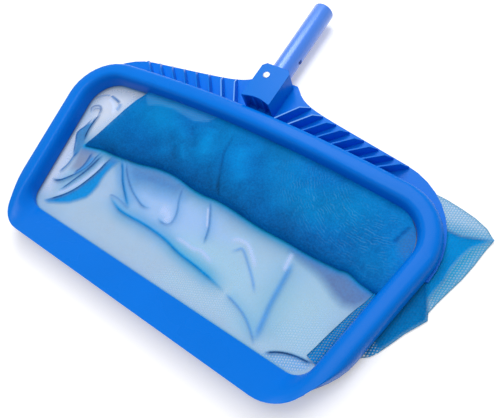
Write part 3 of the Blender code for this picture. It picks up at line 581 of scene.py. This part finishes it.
def net_sheet(name, front, right, back, left, columns, rows):
    """A grid stretched between four border lines, which run left to right and front to back."""
    start_clean()
    bpy.ops.mesh.primitive_grid_add(x_subdivisions=columns, y_subdivisions=rows, size=1)
    made = bpy.context.object
    made.name = made.data.name = name
    points = np.zeros(len(made.data.vertices) * 3)
    made.data.vertices.foreach_get("co", points)
    points = points.reshape(-1, 3)
    u, v = points[:, 0] + 0.5, points[:, 1] + 0.5
    column, row = np.rint(u * columns).astype(int), np.rint(v * rows).astype(int)
    front, back = resampled(front, columns + 1), resampled(back, columns + 1)
    left, right = resampled(left, rows + 1), resampled(right, rows + 1)
    across, along = u[:, None], v[:, None]
    # Two sheets, each held by two borders, less the one held by its corners alone.
    points[:, :2] = ((1 - along) * front[column] + along * back[column]
                     + (1 - across) * left[row] + across * right[row]
                     - (1 - across) * (1 - along) * front[0] - across * (1 - along) * front[-1]
                     - (1 - across) * along * back[0] - across * along * back[-1])
    return made, points, v


print("points of a corner, once smoothed:", len(smoothed(mm([(0, 0), (10, 0), (10, 10)]))))


# %% [markdown]
# Heights and notes come next. A crease is a small ridge along a line, so each point needs its
# distance to that line. An area of another tone needs to know which points lie inside an outline.

# %% Sheets, where a point lies
def distance_to(plan, line):
    """Distance of each point to a line of points, and how far along it the nearest place is."""
    best = np.full(len(plan), np.inf)
    along = np.zeros(len(plan))
    steps = np.diff(line, axis=0)
    lengths = np.linalg.norm(steps, axis=1)
    run = np.concatenate([[0], np.cumsum(lengths)])
    for start, step, length, before in zip(line, steps, lengths, run):
        offset = plan - start
        share = np.clip(offset @ step / length ** 2, 0, 1)
        gap = np.linalg.norm(offset - share[:, None] * step, axis=1)
        nearer = gap < best
        best = np.where(nearer, gap, best)
        along = np.where(nearer, (before + share * length) / run[-1], along)
    return best, along


def within(plan, outline, blur):
    """1 inside an outline and 0 outside, with a soft border."""
    inside = np.zeros(len(plan), bool)
    for (x0, y0), (x1, y1) in zip(outline, np.roll(outline, -1, axis=0)):
        if y0 != y1:
            crosses = (y0 > plan[:, 1]) != (y1 > plan[:, 1])
            inside ^= crosses & (plan[:, 0] < (x1 - x0) * (plan[:, 1] - y0) / (y1 - y0) + x0)
    gap = distance_to(plan, np.concatenate([outline, outline[:1]]))[0]
    return np.clip(0.5 + np.where(inside, gap, -gap) / blur, 0, 1)


def ridge(gap, half_width):
    return np.exp(-(gap / (half_width * MM)) ** 2)


def tapered(along, share=0.14):
    """1 along a line, running out to 0 over a share of it at each end."""
    return np.clip(np.minimum(along, 1 - along) / share, 0, 1)


SQUARE = mm([(0, 0), (10, 0), (10, 10), (0, 10)])
print("in, on and out of a square:", within(mm([(5, 5), (0, 5), (-5, 5)]), SQUARE, MM))

# %% [markdown]
# Cloth is never even. `swell` adds a few long waves that are the same on every run, and `shade`
# moves a sheet's notes towards the values that an area or a crease has.

# %% Sheets, their unevenness and notes
WAVES = 5
WAVE_TURN = 2.4                 # radians from one wave's direction to the next
WAVE_DELAY = 1.7                # radians by which each wave starts later than the one before
WAVE_RATE = 6.3                 # radians over one wave's length, close to a full turn


def swell(plan, size, seed):
    """Unevenness between -1 and 1, from waves as long as size in millimetres."""
    x, y = plan[:, 0] / (size * MM), plan[:, 1] / (size * MM)
    total = np.zeros(len(plan))
    for turn in range(WAVES):
        angle = WAVE_TURN * turn + seed
        total += np.sin(WAVE_RATE * (x * math.cos(angle) + y * math.sin(angle))
                        + WAVE_DELAY * turn * seed)
    return total / WAVES


def shade(notes, mask, **goals):
    """Moves the named notes towards their goals where the mask is 1."""
    for name, goal in goals.items():
        notes[name] = notes[name] + (goal - notes[name]) * mask


print("swell, 100 mm apart:", swell(mm([(0, 0), (100, 0), (200, 0)]), 85, 1.3).round(2))

# %% [markdown]
# A sheet gets its heights, and its notes are kept on the mesh, where the net's material reads them.
# It takes the net's material and rides on its body.


def finish_sheet(made, points, notes):
    mesh = made.data
    mesh.vertices.foreach_set("co", points.ravel())
    for name, parts in (("weave", WEAVE_NOTES), ("tint", TINT_NOTES)):
        table = np.zeros((len(points), len(parts)), np.float32)
        for axis, part in enumerate(parts):
            table[:, axis] = np.clip(notes.get(part, 0), 0, 1)
        kept = mesh.attributes.new(name, "FLOAT_VECTOR", "POINT")
        kept.data.foreach_set("vector", table.ravel())
    mesh.update()
    mesh.materials.append(net)
    mesh.shade_smooth()
    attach(made, "root")


# %% [markdown]
# ## The layer on the floor
#
# The bag's lowest layer lies on the floor inside the mouth, and its border climbs under the rim to
# the strips that hold the hem. The mouth's outline is drawn once as half and mirrored. The front line
# of the folded layers is listed too, because the fold's shadow is painted on the cloth along it.

# %% Floor layer, its outline
MOUTH_HALF = [(0, -111.2), (98.9, -111.2), (197.8, -111.2), (204.6, -110.2), (210.9, -107.6),
              (216.2, -103.1), (220.1, -97.3), (222.3, -90.8), (235.8, -19), (249.2, 52.8),
              (249.9, 59.4), (249.4, 66), (247.9, 72.5), (245.3, 78.8), (241.8, 84.5),
              (237.4, 89.4), (232.1, 93.7), (226.3, 97), (220, 99.3), (213.5, 100.5),
              (183, 103.4), (152.6, 105.8), (122.1, 107.8), (91.6, 109.2), (61.1, 110.4),
              (30.5, 111), (0, 111.3)]
FOLD_FRONT = [(-209, -5), (-195, -2), (-178, 2), (-159, 3), (-141, 5), (-120, 7), (-102, 11),
              (-85, 15), (-66, 17), (-49, 17), (-31, 14), (-16, 12), (1, 12), (15, 14), (29, 14),
              (45, 13), (63, 11), (87, 9), (108, 9), (129, 9), (148, 8), (167, 8), (183, 9),
              (191, 9), (197, 11), (204, 11), (216, 7), (226, 6), (239.5, 4)]
UNDER_RIM = 1.015               # the cloth reaches a little under the rim
FRONT_SPLIT, BACK_SPLIT = 4, 14
fold_front = smoothed(mm(FOLD_FRONT))
half = mm(MOUTH_HALF) * UNDER_RIM
other = half[::-1] * (-1, 1)
mouth_front = np.concatenate([other[-FRONT_SPLIT - 1:-1], half[:FRONT_SPLIT + 1]])
mouth_right = half[FRONT_SPLIT:BACK_SPLIT + 1]
mouth_back = np.concatenate([half[BACK_SPLIT:-1], other[:len(half) - BACK_SPLIT]])[::-1]
mouth_left = mouth_right * (-1, 1)
print("mouth across and deep, mm:", round(2 * half[:, 0].max() / MM),
      round((half[:, 1].max() - half[:, 1].min()) / MM))

# %% [markdown]
# Each crease is listed with its half width and height in millimetres, and with the tone and the
# cover that the crushed yarns reach there. Its glow is how far the cloth to both sides turns a
# clear bright blue.

# %% Floor layer, its creases
CREASES = (
    # line, half width, height, tone, cover, glow
    ([(-229, 79), (-218, 78), (-206, 75)], 1.8, 1.8, 0.85, 0.9, 0),
    ([(-206, 75), (-203, 70), (-203, 62)], 3, 0, 0.45, 0.62, 0),
    ([(-250, 65), (-244, 73), (-236, 78), (-229, 79)], 1.4, 1, 0.6, 0.62, 0),
    ([(-229, 75), (-217, 71), (-208, 64), (-203, 53)], 3, 2.5, 0.2, 0.3, 0),
    ([(-240, 43), (-244, 49), (-241, 55), (-233, 58), (-227, 55), (-225, 49), (-225, 42)],
     1.5, 2.2, 0.8, 0.8, 0),
    ([(-237, 46), (-237, 50), (-232, 53), (-227, 52)], 1.2, 2.6, 0.7, 0.66, 0),
    ([(-223, 47), (-223, 40), (-223, 33), (-222, 21), (-220, 12), (-216, 2)], 1.6, 2, 1, 1, 0),
    ([(-212, -16), (-213, -28), (-212, -39), (-214, -48), (-217, -56)], 1.6, 1.5, 0.7, 0.9, 0),
    ([(-230, 38), (-231, 22), (-238, 7), (-228, -6), (-215, -26)], 1.1, 0.8, 0.8, 0.95, 0),
    ([(-177, 0), (-178, -11), (-178, -23), (-182, -35), (-190, -47), (-198, -57), (-205, -65),
      (-214, -68), (-221, -67)], 1.9, 2.4, 0.95, 1, 0.3),
    ([(-184, -10), (-183, -24), (-186, -36), (-194, -48)], 3, 0, 0.3, 0.85, 0),
    ([(-190, -8), (-188, -18), (-187, -27), (-189, -38), (-194, -46)], 2, 1.5, 0.8, 0.9, 0),
    ([(-172, -2), (-173, -13), (-175, -27), (-180, -41), (-186, -54), (-191, -68), (-197, -78)],
     1.7, 1.6, 0.9, 0.95, 0.3),
    ([(-164, -8), (-165, -22), (-169, -38), (-176, -54), (-188, -72), (-200, -86)],
     2.4, 0.6, 0.1, 0.42, 0),
    ([(-156, 2), (-158, -11), (-159, -23), (-162, -35), (-166, -47), (-172, -62), (-182, -77),
      (-196, -91), (-206, -98)], 1.5, 2.4, 0.9, 1, 0),
    ([(-141, 2), (-130, -7), (-121, -18), (-112, -27), (-103, -34), (-92, -43), (-83, -50)],
     1.9, 2, 0.68, 1, 0.7),
    ([(-132, 4), (-122, -8), (-111, -17), (-96, -27), (-82, -33), (-69, -38), (-60, -37),
      (-55, -34)], 1.5, 1.6, 0.6, 0.84, 0.3),
    ([(-123, -47), (-114, -45), (-100, -46), (-83, -50)], 1.4, 1.2, 0.6, 0.72, 0.2),
    ([(-122, -46), (-118, -49), (-102, -55), (-90, -58), (-73, -58), (-59, -57), (-42, -57),
      (-23, -58), (-7, -60), (9, -64), (24, -66), (47, -68), (75, -72), (93, -76)],
     2, 2.2, 0.45, 1, 0.9),
    ([(93, -76), (112, -80), (129, -86), (146, -98), (154, -107)], 1.6, 1.5, 0.4, 0.78, 0.3),
    ([(-34, 12), (-32, 3), (-27, -10), (-20, -22), (-17, -33), (-19, -42), (-30, -44),
      (-40, -41)], 1.5, 1.4, 0.55, 0.8, 0.3),
    ([(10, 11), (19, -2), (27, -15), (32, -25), (36, -41)], 1.5, 1.4, 0.6, 0.84, 0.3),
    ([(12, 3), (20, -10), (28, -22)], 1.6, 0.5, 0.1, 0.4, 0),
    ([(-45, -30), (-35, -28), (-26, -34), (-28, -43)], 6, 0.3, 0.1, 0.44, 0),
    ([(142, -5), (144, -23), (145, -46), (146, -62), (149, -80), (152, -103)],
     3.6, 2, 0.3, 0.8, 0.3),
    ([(136, 2), (137, -10), (139, -22)], 2.6, 1, 0.05, 0.42, 0),
    ([(62, -21), (71, -15), (83, -14), (90, -18), (101, -27), (109, -35)], 2.4, 1.8, 0.05, 0.42, 0),
    ([(-3, -51), (11, -50), (28, -52), (38, -48), (50, -52), (60, -54)], 2.2, 1, 0.05, 0.44, 0),
    ([(70, -32), (77, -27), (81, -21), (94, -31), (113, -47), (124, -60)], 1.8, 1, 0.3, 0.7, 0),
    ([(167, -108), (178, -100), (189, -95), (201, -92), (212, -91), (218, -88)],
     1.6, 1.5, 1, 1, 0),
)
print("creases:", len(CREASES))

# %% [markdown]
# Between the creases the layer isn't one blue either. It is greener and thinner over bare paper,
# deeper where it is doubled, and grey in the shaded corner at the left, a painted shade. Three
# outlines are the fold's painted shadow: under its left tip, and in front of its right and its left
# half.

# %% Floor layer, its areas
AREA_NOTES = ("tone", "cover", "knit", "green", "neutral")
AREAS = (
    # outline, blur, tone, cover, knit, green, neutral
    ([(107, -64), (141, -12), (198, -12), (223, -35), (206, -98), (150, -108), (83, -111)],
     60, 0.3, 0.5, 0.03, 0.6, 0.05),
    ([(-3, -25), (60, -20), (120, -30), (140, -90), (60, -108), (-10, -80)],
     50, 0.25, 0.5, 0.02, 0.55, 0),
    ([(-90, 0), (-20, 0), (30, 0), (60, -20), (0, -45), (-60, -50), (-95, -38)],
     30, 0.1, 0.52, 0, 0.15, 0),
    ([(-205, -98), (-150, -72), (-100, -66), (0, -72), (70, -84), (110, -104), (-60, -112)],
     24, 0.35, 0.52, 0.05, 0.35, 0.2),
    # painted shade in the corner at the left
    ([(-248, 86), (-188, 102), (-192, 59), (-212, 22), (-234, 22), (-243, 56)],
     30, 0.2, 0.4, 0, 0.2, 0.5),
    # painted shadow under the fold's left tip
    ([(-214, -15), (-209, -7), (-187, -1), (-178, -16), (-190, -40), (-204, -42)],
     12, 0.5, 0.8, 0, 0, 0.55),
    ([(-209, -83), (-219, -17), (-234, 10), (-248, 20), (-245, -20), (-232, -88)],
     24, 0.2, 0.4, 0.05, 0.1, 0.35),
    ([(20, -84), (90, -74), (120, -90), (79, -107), (10, -104)], 16, 0.3, 0.5, 0.17, 0.45, 0.1),
    ([(160, -80), (205, -45), (225, -69), (200, -90)], 16, 0.3, 0.5, 0.17, 0.55, 0),
    # painted shadow in front of the fold's right half
    ([(127, 10), (166, 9), (203, 11), (234, 6), (235, -5), (226, -18), (213, -22), (199, -18),
      (187, -12), (173, -6), (157, -3), (145, -1), (133, 2)], 12, 0.6, 0.86, 0, 0, 0.3),
    # painted shadow in front of the fold's left half
    ([(-141, 6), (-105, 12), (-69, 18), (-34, 15), (-26, 0), (-40, -8), (-65, -14), (-78, -14),
      (-91, -18), (-105, -24), (-119, -20), (-133, -8)], 26, 0.42, 0.86, 0, 0, 0.12),
    ([(-156, 2), (-158, -11), (-159, -23), (-162, -35), (-166, -47), (-172, -62), (-182, -77),
      (-196, -91), (-206, -98), (-199, -98), (-183, -91), (-170, -84), (-160, -75), (-151, -66),
      (-148, -57), (-147, -45), (-149, -34), (-149, -24), (-147, -13), (-143, -2)],
     6, 0.3, 0.97, 0, 0, 0),
    ([(-228, 40), (-227, 31), (-232, 21), (-236, 14), (-238, 7), (-233, -1), (-225, -8),
      (-219, -18), (-213, -28), (-211, -23), (-211, -17), (-213, -10), (-213, -6), (-216, 2),
      (-220, 12), (-222, 21), (-223, 33)], 2, 0.55, 0.92, 0.2, 0.15, 0.1),
    ([(167, -109), (178, -101), (189, -95), (202, -92), (213, -91), (217, -90), (213, -99),
      (201, -108), (185, -110)], 3, 0.2, 0.6, 0.45, 0.3, 0),
)
print("areas:", len(AREAS))

# %% [markdown]
# Now the sheet is stretched between the mouth's borders. It lies a little unevenly on the floor,
# and over the last millimetres before the rim it climbs to the strips.

# %% Floor layer, laid
FLOOR_COLUMNS, FLOOR_ROWS = 420, 210
FLOOR_LAYER_Z, FLOOR_SWELL = 0.9 * MM, 0.5 * MM
STRIP_LEVEL = 4.6 * MM          # just below the heads of the retaining strips
CLIMB = 7 * MM

floor_layer, points, _ = net_sheet("net_floor_layer", mouth_front, mouth_right, mouth_back,
                                   mouth_left, FLOOR_COLUMNS, FLOOR_ROWS)
plan = points[:, :2]
height = FLOOR_LAYER_Z + FLOOR_SWELL * (1 + swell(plan, 85, 1.3))
border = np.concatenate([mouth_front, mouth_right[1:], mouth_back[::-1][1:], mouth_left[::-1][1:]])
to_border = distance_to(plan, border)[0]
rise = np.clip(1 - to_border / CLIMB, 0, 1) ** 2
print("points that climb to the strips:", int((rise > 0).sum()))

# %% [markdown]
# The notes start with slow changes over the whole sheet. The areas come next, then the painted shadow
# that the fold casts in front of it, then the creases, each with its glow, and last a band of painted
# shade along the border under the rim.

# %% Floor layer, creased and finished
FOLD_SHADOW_REACH, FOLD_EDGE_SHADOW_REACH = 11 * MM, 4.5 * MM     # how far the painted shadow in front of the fold reaches, and its narrower darkest band
CREASE_SPREAD = 1.6             # a crease is this much wider in its height than in its tone
GLOW_SPREAD = 5.5               # and its glow is this much wider
RIM_EDGE_SHADE = 2.5                      # half width of the band of painted shade along the border, in millimetres as in the tables

notes = {"tone": 0.3,
         "cover": 0.54 + 0.05 * swell(plan, 140, 0.4) + 0.025 * swell(plan, 37, 2.7),
         "knit": 0.02 + 0.06 * np.clip(swell(plan, 110, 2.2) - 0.1, 0, 1),
         "green": 0.3 + 0.15 * swell(plan, 100, 0.9),
         "neutral": 0.12}
for outline, blur, *goals in AREAS:
    shade(notes, within(plan, mm(outline), blur * MM), **dict(zip(AREA_NOTES, goals)))
to_fold = distance_to(plan, fold_front)[0]
# painted shadow of the fold: greyer and denser farther out, and full cover in deep blue next to its
# edge
shade(notes, np.exp(-(to_fold / FOLD_SHADOW_REACH) ** 1.5), tone=0.5, cover=0.9, neutral=0.2)
shade(notes, np.exp(-(to_fold / FOLD_EDGE_SHADOW_REACH) ** 2), tone=0.35, cover=1, neutral=0)
for line, half_width, crease_height, crease_tone, crease_cover, glow in CREASES:
    gap, along = distance_to(plan, smoothed(mm(line)))
    ends = tapered(along)
    height += ridge(gap, CREASE_SPREAD * half_width) * crease_height * MM * ends
    shade(notes, glow * ridge(gap, GLOW_SPREAD * half_width) * ends, tone=0.12, cover=0.8)
    shade(notes, ridge(gap, half_width) * ends, tone=crease_tone, cover=crease_cover, knit=0,
          green=0, neutral=0)
# painted shade: a dark blue band where the cloth meets the rim, in the rim's shade
shade(notes, ridge(to_border, RIM_EDGE_SHADE), tone=0.6, cover=1, neutral=0)
points[:, 2] = height + (STRIP_LEVEL - height) * rise
finish_sheet(floor_layer, points, notes)
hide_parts("net_bag")

# %% [markdown]
# ## The folded layers
#
# The back of the bag is folded forward over the floor layer, in several layers with a rolled
# front edge. It is one thick-looking sheet here: high at the back, where it meets the rim, and
# rolled down at the front so that its shadow falls on the floor layer.

# %% Folded layers, their borders
FOLD_LEFT = [(-209, -5), (-201, 19), (-195, 42), (-188, 68), (-181, 87), (-171, 105)]
FOLD_RIGHT = [(239.5, 4), (243.8, 26), (248.8, 53), (249.4, 59), (248.9, 66), (247.5, 72),
              (245.2, 77.5), (241.7, 84)]
FOLD_BACK = [(-171, 105), (-152.6, 106), (-122.1, 108), (-91.6, 109.5), (-61.1, 110.5),
             (-30.5, 111), (0, 111.3), (30.5, 111), (61.1, 110.5), (91.6, 109.5), (122.1, 108),
             (152.6, 106), (183, 103.5), (213.5, 100.5), (220, 99.3), (226.3, 97),
             (232.1, 93.7), (241.7, 84)]
FOLD_COLUMNS, FOLD_ROWS = 360, 130
fold, points, v = net_sheet("net_folded_layers", fold_front, mm(FOLD_RIGHT), mm(FOLD_BACK),
                            mm(FOLD_LEFT), FOLD_COLUMNS, FOLD_ROWS)
print("points in the fold:", len(points))

# %% [markdown]
# The fold is high at the back, rolls down over its front and left edges, and is flatter towards
# its left tip.

# %% Folded layers, their heights
FOLD_LOW, FOLD_TOP, FOLD_BACK_Z = 3.5 * MM, 10 * MM, 12.5 * MM
FOLD_SWELL = 0.9 * MM
FRONT_ROLL, LEFT_ROLL = 8 * MM, 4.8 * MM
TIP_X, TIP_LENGTH = -210 * MM, 50 * MM
TIP_SHARE = 0.35                # the tip's share of the fold's full height


def rolled(gap, radius):
    """A quarter round that rises from 0 at an edge to 1 over the radius."""
    return np.sqrt(1 - (1 - np.clip(gap / radius, 0, 1)) ** 2)


plan = points[:, :2]
to_front = distance_to(plan, fold_front)[0]
to_left = distance_to(plan, mm(FOLD_LEFT))[0]
top = FOLD_TOP + (FOLD_BACK_Z - FOLD_TOP) * v + FOLD_SWELL * swell(plan, 120, 0.7)
from_tip = np.clip((plan[:, 0] - TIP_X) / TIP_LENGTH, 0, 1)
top = FOLD_LOW + (top - FOLD_LOW) * (TIP_SHARE + (1 - TIP_SHARE) * from_tip)
print("fold's top, mm:", round(top.min() / MM, 1), "to", round(top.max() / MM, 1))

# %% [markdown]
# The fold's creases have a half width and a height in millimetres too, and each deepens or pales
# the tone by its last number. Three outlines say where the knit shows plainly, where the cloth is
# thin and grey, and where crossed layers ripple.

# %% Folded layers, their creases and patches
FOLD_CREASES = (
    # line, half width, height, tone
    ([(-11, 103), (-9, 87), (-8, 73), (-4, 61), (3, 47), (8, 36), (16, 22), (23, 15)],
     1.8, -1.3, 0.14),
    ([(-74, 85), (-59, 73), (-51, 56)], 6, -1.5, 0.1),
    ([(-79, 53), (-71, 39), (-63, 34)], 5, -1.2, 0.08),
    ([(-69, 60), (-60, 45), (-50, 38)], 4, 1.2, -0.1),
    ([(-118, 66), (-96, 52), (-84, 30)], 9, 1.4, -0.04),
    ([(-150, 70), (-120, 78), (-90, 74)], 10, 1, -0.07),
    ([(-40, 84), (-36, 60), (-20, 42)], 9, 1, -0.06),
    ([(60, 95), (72, 60), (98, 30)], 12, 1.2, -0.05),
    ([(150, 90), (168, 60), (196, 34)], 11, -1.2, 0.04),
    ([(-42, 96), (-38, 76), (-26, 56)], 12, 0.6, -0.17),
    ([(8, 92), (20, 66), (36, 44)], 14, 0.6, -0.18),
    ([(-100, 84), (-84, 72), (-66, 66)], 8, 0.5, -0.1),
    ([(110, 80), (130, 52), (150, 26)], 12, 0.6, -0.08),
    ([(236, 85), (231, 70), (229, 60)], 2, -2, 0.2),
)
KNIT_PATCH = [(-171, 104), (-159, 91), (-152, 86), (-139, 93), (-115, 97), (-93, 95), (-74, 93),
              (-56, 99), (-44, 112), (-100, 112), (-171, 107)]
GREY_PATCH = [(232, 64), (234, 74), (238, 84), (244, 81), (249, 71), (249, 59), (246, 50),
              (239, 53)]
RIPPLED = [(80, 90), (150, 98), (215, 88), (236, 60), (236, 30), (215, 22), (180, 30),
           (130, 40), (95, 60)]
print("creases in the fold:", len(FOLD_CREASES))

# %% [markdown]
# The tone deepens towards the front edge, where the fold turns into its own shadow, except for a
# thin lit line along the edge itself. It is paler at the right. One patch at the upper left shows
# its knit plainly, and a small one in the right corner is thin and grey.

# %% Folded layers, toned and finished
SHADE_REACH, LIT_REACH, LEFT_REACH = 26 * MM, 2.5 * MM, 8 * MM
PALER_FROM_X, PALER_LENGTH = 150 * MM, 80 * MM
GREEN_REACH = 40 * MM

to_right = np.clip((plan[:, 0] - PALER_FROM_X) / PALER_LENGTH, 0, 1)
grey = within(plan, mm(GREY_PATCH), 9 * MM)
notes = {"tone": (0.58 + 0.34 * np.exp(-to_front / SHADE_REACH) + 0.04 * swell(plan, 75, 3.1)
                  - 0.12 * to_right - 0.3 * np.exp(-to_front / LIT_REACH)),
         "cover": 0.98,
         "knit": 0.07 * np.clip(swell(plan, 60, 1.1), 0, 1),
         "ripple": 0.15 * within(plan, mm(RIPPLED), 50 * MM) * (1 - grey),
         "green": (0.12 * np.clip(0.4 + swell(plan, 90, 1.9), 0, 1)
                   * np.clip(to_front / GREEN_REACH, 0, 1)),
         "neutral": 0.06 * grey}
for line, half_width, crease_height, crease_tone in FOLD_CREASES:
    gap, along = distance_to(plan, smoothed(mm(line)))
    mask = ridge(gap, half_width) * tapered(along)
    top += mask * crease_height * MM
    notes["tone"] += mask * crease_tone
shade(notes, within(plan, mm(KNIT_PATCH), 4 * MM), knit=0.95, tone=0.42, cover=0.9)
shade(notes, grey, knit=0.35, tone=0.54, cover=0.97)
shade(notes, np.exp(-to_left / LEFT_REACH) * np.clip(2 * v, 0, 1), knit=0.45)
points[:, 2] = (FOLD_LOW + (top - FOLD_LOW) * rolled(to_front, FRONT_ROLL)
                * rolled(to_left, LEFT_ROLL))
finish_sheet(fold, points, notes)

# %% [markdown]
# ## The hem strip on the right
#
# Along the right side the seam allowance of the bag has flipped inwards. It is a narrow doubled
# strip with the knit plain to see, darker along both edges.

# %% Hem strip
STRIP_UPPER = [(207, -86), (211, -73), (214, -61), (218, -47), (222, -34), (226, -21), (232, -7),
               (235, 6)]
STRIP_LOWER = [(222, -90), (223.5, -84), (226.1, -70), (228.7, -56), (231.4, -42), (234, -28),
               (236.6, -14), (239, 2)]
STRIP_COLUMNS, STRIP_ROWS = 150, 24
STRIP_LOW, STRIP_RISE = 1.8 * MM, 2.6 * MM
hem_strip, points, v = net_sheet("net_side_fold", mm(STRIP_LOWER), mm([(239, 2), (235, 6)]),
                                 smoothed(mm(STRIP_UPPER)), mm([(222, -90), (207, -86)]),
                                 STRIP_COLUMNS, STRIP_ROWS)
inside = np.clip(4 * np.minimum(v, 1 - v), 0, 1)
points[:, 2] = STRIP_LOW + STRIP_RISE * np.sin(np.clip(v, 0, 1) * math.pi) ** 0.6
notes = {"tone": 0.92 - 0.35 * inside, "cover": 0.97 - 0.07 * inside, "knit": 0.1 + 0.9 * inside,
         "green": 0.1}
finish_sheet(hem_strip, points, notes)

# %% [markdown]
# ## The bag's end outside the frame
#
# The rest of the bag comes out under the right side and lies flat on the floor. The lower layer
# has the whole outline and is pale where it is single. The upper layer covers it near the frame
# and runs out to the tip, so the middle is deep blue.

# %% Outer flap, its outline
FLAP_BACK = [(205, 137), (233, 136), (238, 136), (253, 135), (270, 132), (287, 128), (302, 122),
             (313, 113)]
FLAP_SIDE = [(250, -64), (262, -54), (267, -46), (273, -33), (280, -17), (288, -3), (293, 6),
             (290, 13), (293, 26), (297, 40), (303, 60), (307, 79), (310, 99), (313, 113)]
FLAP_INNER = [(228, -66), (243, 0), (255, 60), (246, 102), (205, 137)]
FLAP_COLUMNS, FLAP_ROWS = 70, 190
flap, points, _ = net_sheet("net_outer_flap", mm([(228, -66), (250, -64)]), mm(FLAP_SIDE),
                            mm(FLAP_BACK), mm(FLAP_INNER), FLAP_COLUMNS, FLAP_ROWS)
print("points in the flap:", len(points))

# %% [markdown]
# OVER_TOP and OVER_LOW bound the upper layer. Three smaller outlines follow: where the lower layer is
# darkened by painted shade, where the upper one is doubled, and the end where the knit shows plainly.

# %% Outer flap, its layers and creases
OVER_TOP = [(228, 104), (250, 106), (257, 106), (264, 104), (271, 103), (283, 103), (295, 107),
            (312, 112.5)]
OVER_LOW = [(312, 112), (305, 104), (297, 95), (292, 81), (289, 66), (289, 51), (286, 38),
            (284, 26), (290, 12), (292, 6), (287, -3), (279, -17), (272, -33), (266, -45),
            (261, -53), (228, -64)]
SHADED_LOWER_LAYER = [(250, 106), (312, 112), (300, 50), (293, 26), (262, 20), (250, 60)]
DOUBLED = [(228, -64), (261, -53), (272, -33), (287, -3), (292, 6), (290, 12), (276, 39),
           (240, 39)]
END_KNIT = [(250, -64), (262, -54), (268, -45), (258, -38), (244, -48)]
FLAP_CREASES = (
    # line, half width, height, tone, how far the tone is reached
    ([(257, 106), (264, 104), (271, 103), (283, 103), (295, 107), (312, 112)], 1.8, 1.4, 0.68, 0.6),
    ([(276, 39), (280, 29), (285, 20), (290, 12)], 1.8, 1.2, 0.68, 0.6),
    ([(312, 112), (297, 95), (289, 66), (284, 30)], 3, 0.9, 0.25, 0.5),
    ([(262, 84), (272, 60), (276, 39)], 6, 1, 0.25, 0.5),
)
FLAP_Z, FLAP_SWELL, UPPER_LAYER = 0.8 * MM, 0.5 * MM, 0.6 * MM

plan = points[:, :2]
to_edge = np.minimum(distance_to(plan, mm(FLAP_SIDE))[0], distance_to(plan, mm(FLAP_BACK))[0])
upper = within(plan, mm(OVER_TOP + OVER_LOW), 5 * MM)
lower = within(plan, mm(SHADED_LOWER_LAYER), 20 * MM) * (1 - upper)
end_knit = within(plan, mm(END_KNIT), 4 * MM)
doubled = within(plan, mm(DOUBLED), 3 * MM) * (1 - end_knit)
hem = ridge(to_edge, 1)
points[:, 2] = FLAP_Z + FLAP_SWELL * (1 + swell(plan, 60, 2)) + UPPER_LAYER * upper
notes = {"tone": 0.35, "cover": 0.54, "knit": 0.45, "green": 0.1 + 0.3 * (1 - upper)}
shade(notes, upper, tone=0.42, cover=1, knit=0.06)
shade(notes, hem, tone=0.95, cover=0.95, knit=0)
# painted shade: the lower layer's cover rises there, so less paper shows through and it reads darker
shade(notes, lower, cover=0.86)
shade(notes, end_knit, tone=0.45, knit=0.9)
shade(notes, doubled, tone=0.6)
for line, half_width, crease_height, crease_tone, strength in FLAP_CREASES:
    mask = ridge(distance_to(plan, smoothed(mm(line)))[0], half_width)
    points[:, 2] += mask * crease_height * MM
    shade(notes, strength * mask, tone=crease_tone)
finish_sheet(flap, points, notes)

# %% [markdown]
# ## What the rim hides
#
# Under the rim a sleeve of doubled cloth holds the white cord, and eight blue strips press it into
# the groove. They keep the CAD's own shapes. The sleeve is the same yarn as the net, woven tight,
# so it lets nothing through.

# %% Sleeve cloth
SLEEVE_WEAVE = 1.2 * MM         # the real threads are finer, and are drawn wider to show

sleeve_cloth, tree, shader = new_material("polyester_sleeve_doubled")
place = add(tree, "ShaderNodeTexCoord").outputs["Object"]
threads = add(tree, "ShaderNodeTexWave", {"Scale": wave_scale(SLEEVE_WEAVE), "Distortion": 2},
              {"Vector": place}).outputs["Fac"]
cloth = add(tree, "ShaderNodeMix", {"data_type": "RGBA", 6: colour("0058a8"), 7: colour("0072c8")},
            {0: threads})
bump = add(tree, "ShaderNodeBump", {"Strength": 0.4, "Distance": 0.1 * MM}, {"Height": threads})
connect(tree, shader, {"Base Color": cloth.outputs[2], "Normal": bump})
shader.inputs["Roughness"].default_value = 0.7
shader.inputs["Specular IOR Level"].default_value = 0.05
print("sleeve's weave, mm:", round(SLEEVE_WEAVE / MM, 1))

# %% Hidden pieces
HIDDEN_LOOKS = {"hem_sleeve": sleeve_cloth, "bead_cord": cord_plastic}

dressed = 0
for node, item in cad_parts.items():
    look = strip_plastic if node.endswith("strip") else HIDDEN_LOOKS.get(node)
    if look:
        item.data.materials.clear()
        item.data.materials.append(look)
        dressed += 1
print("hidden pieces dressed:", dressed)
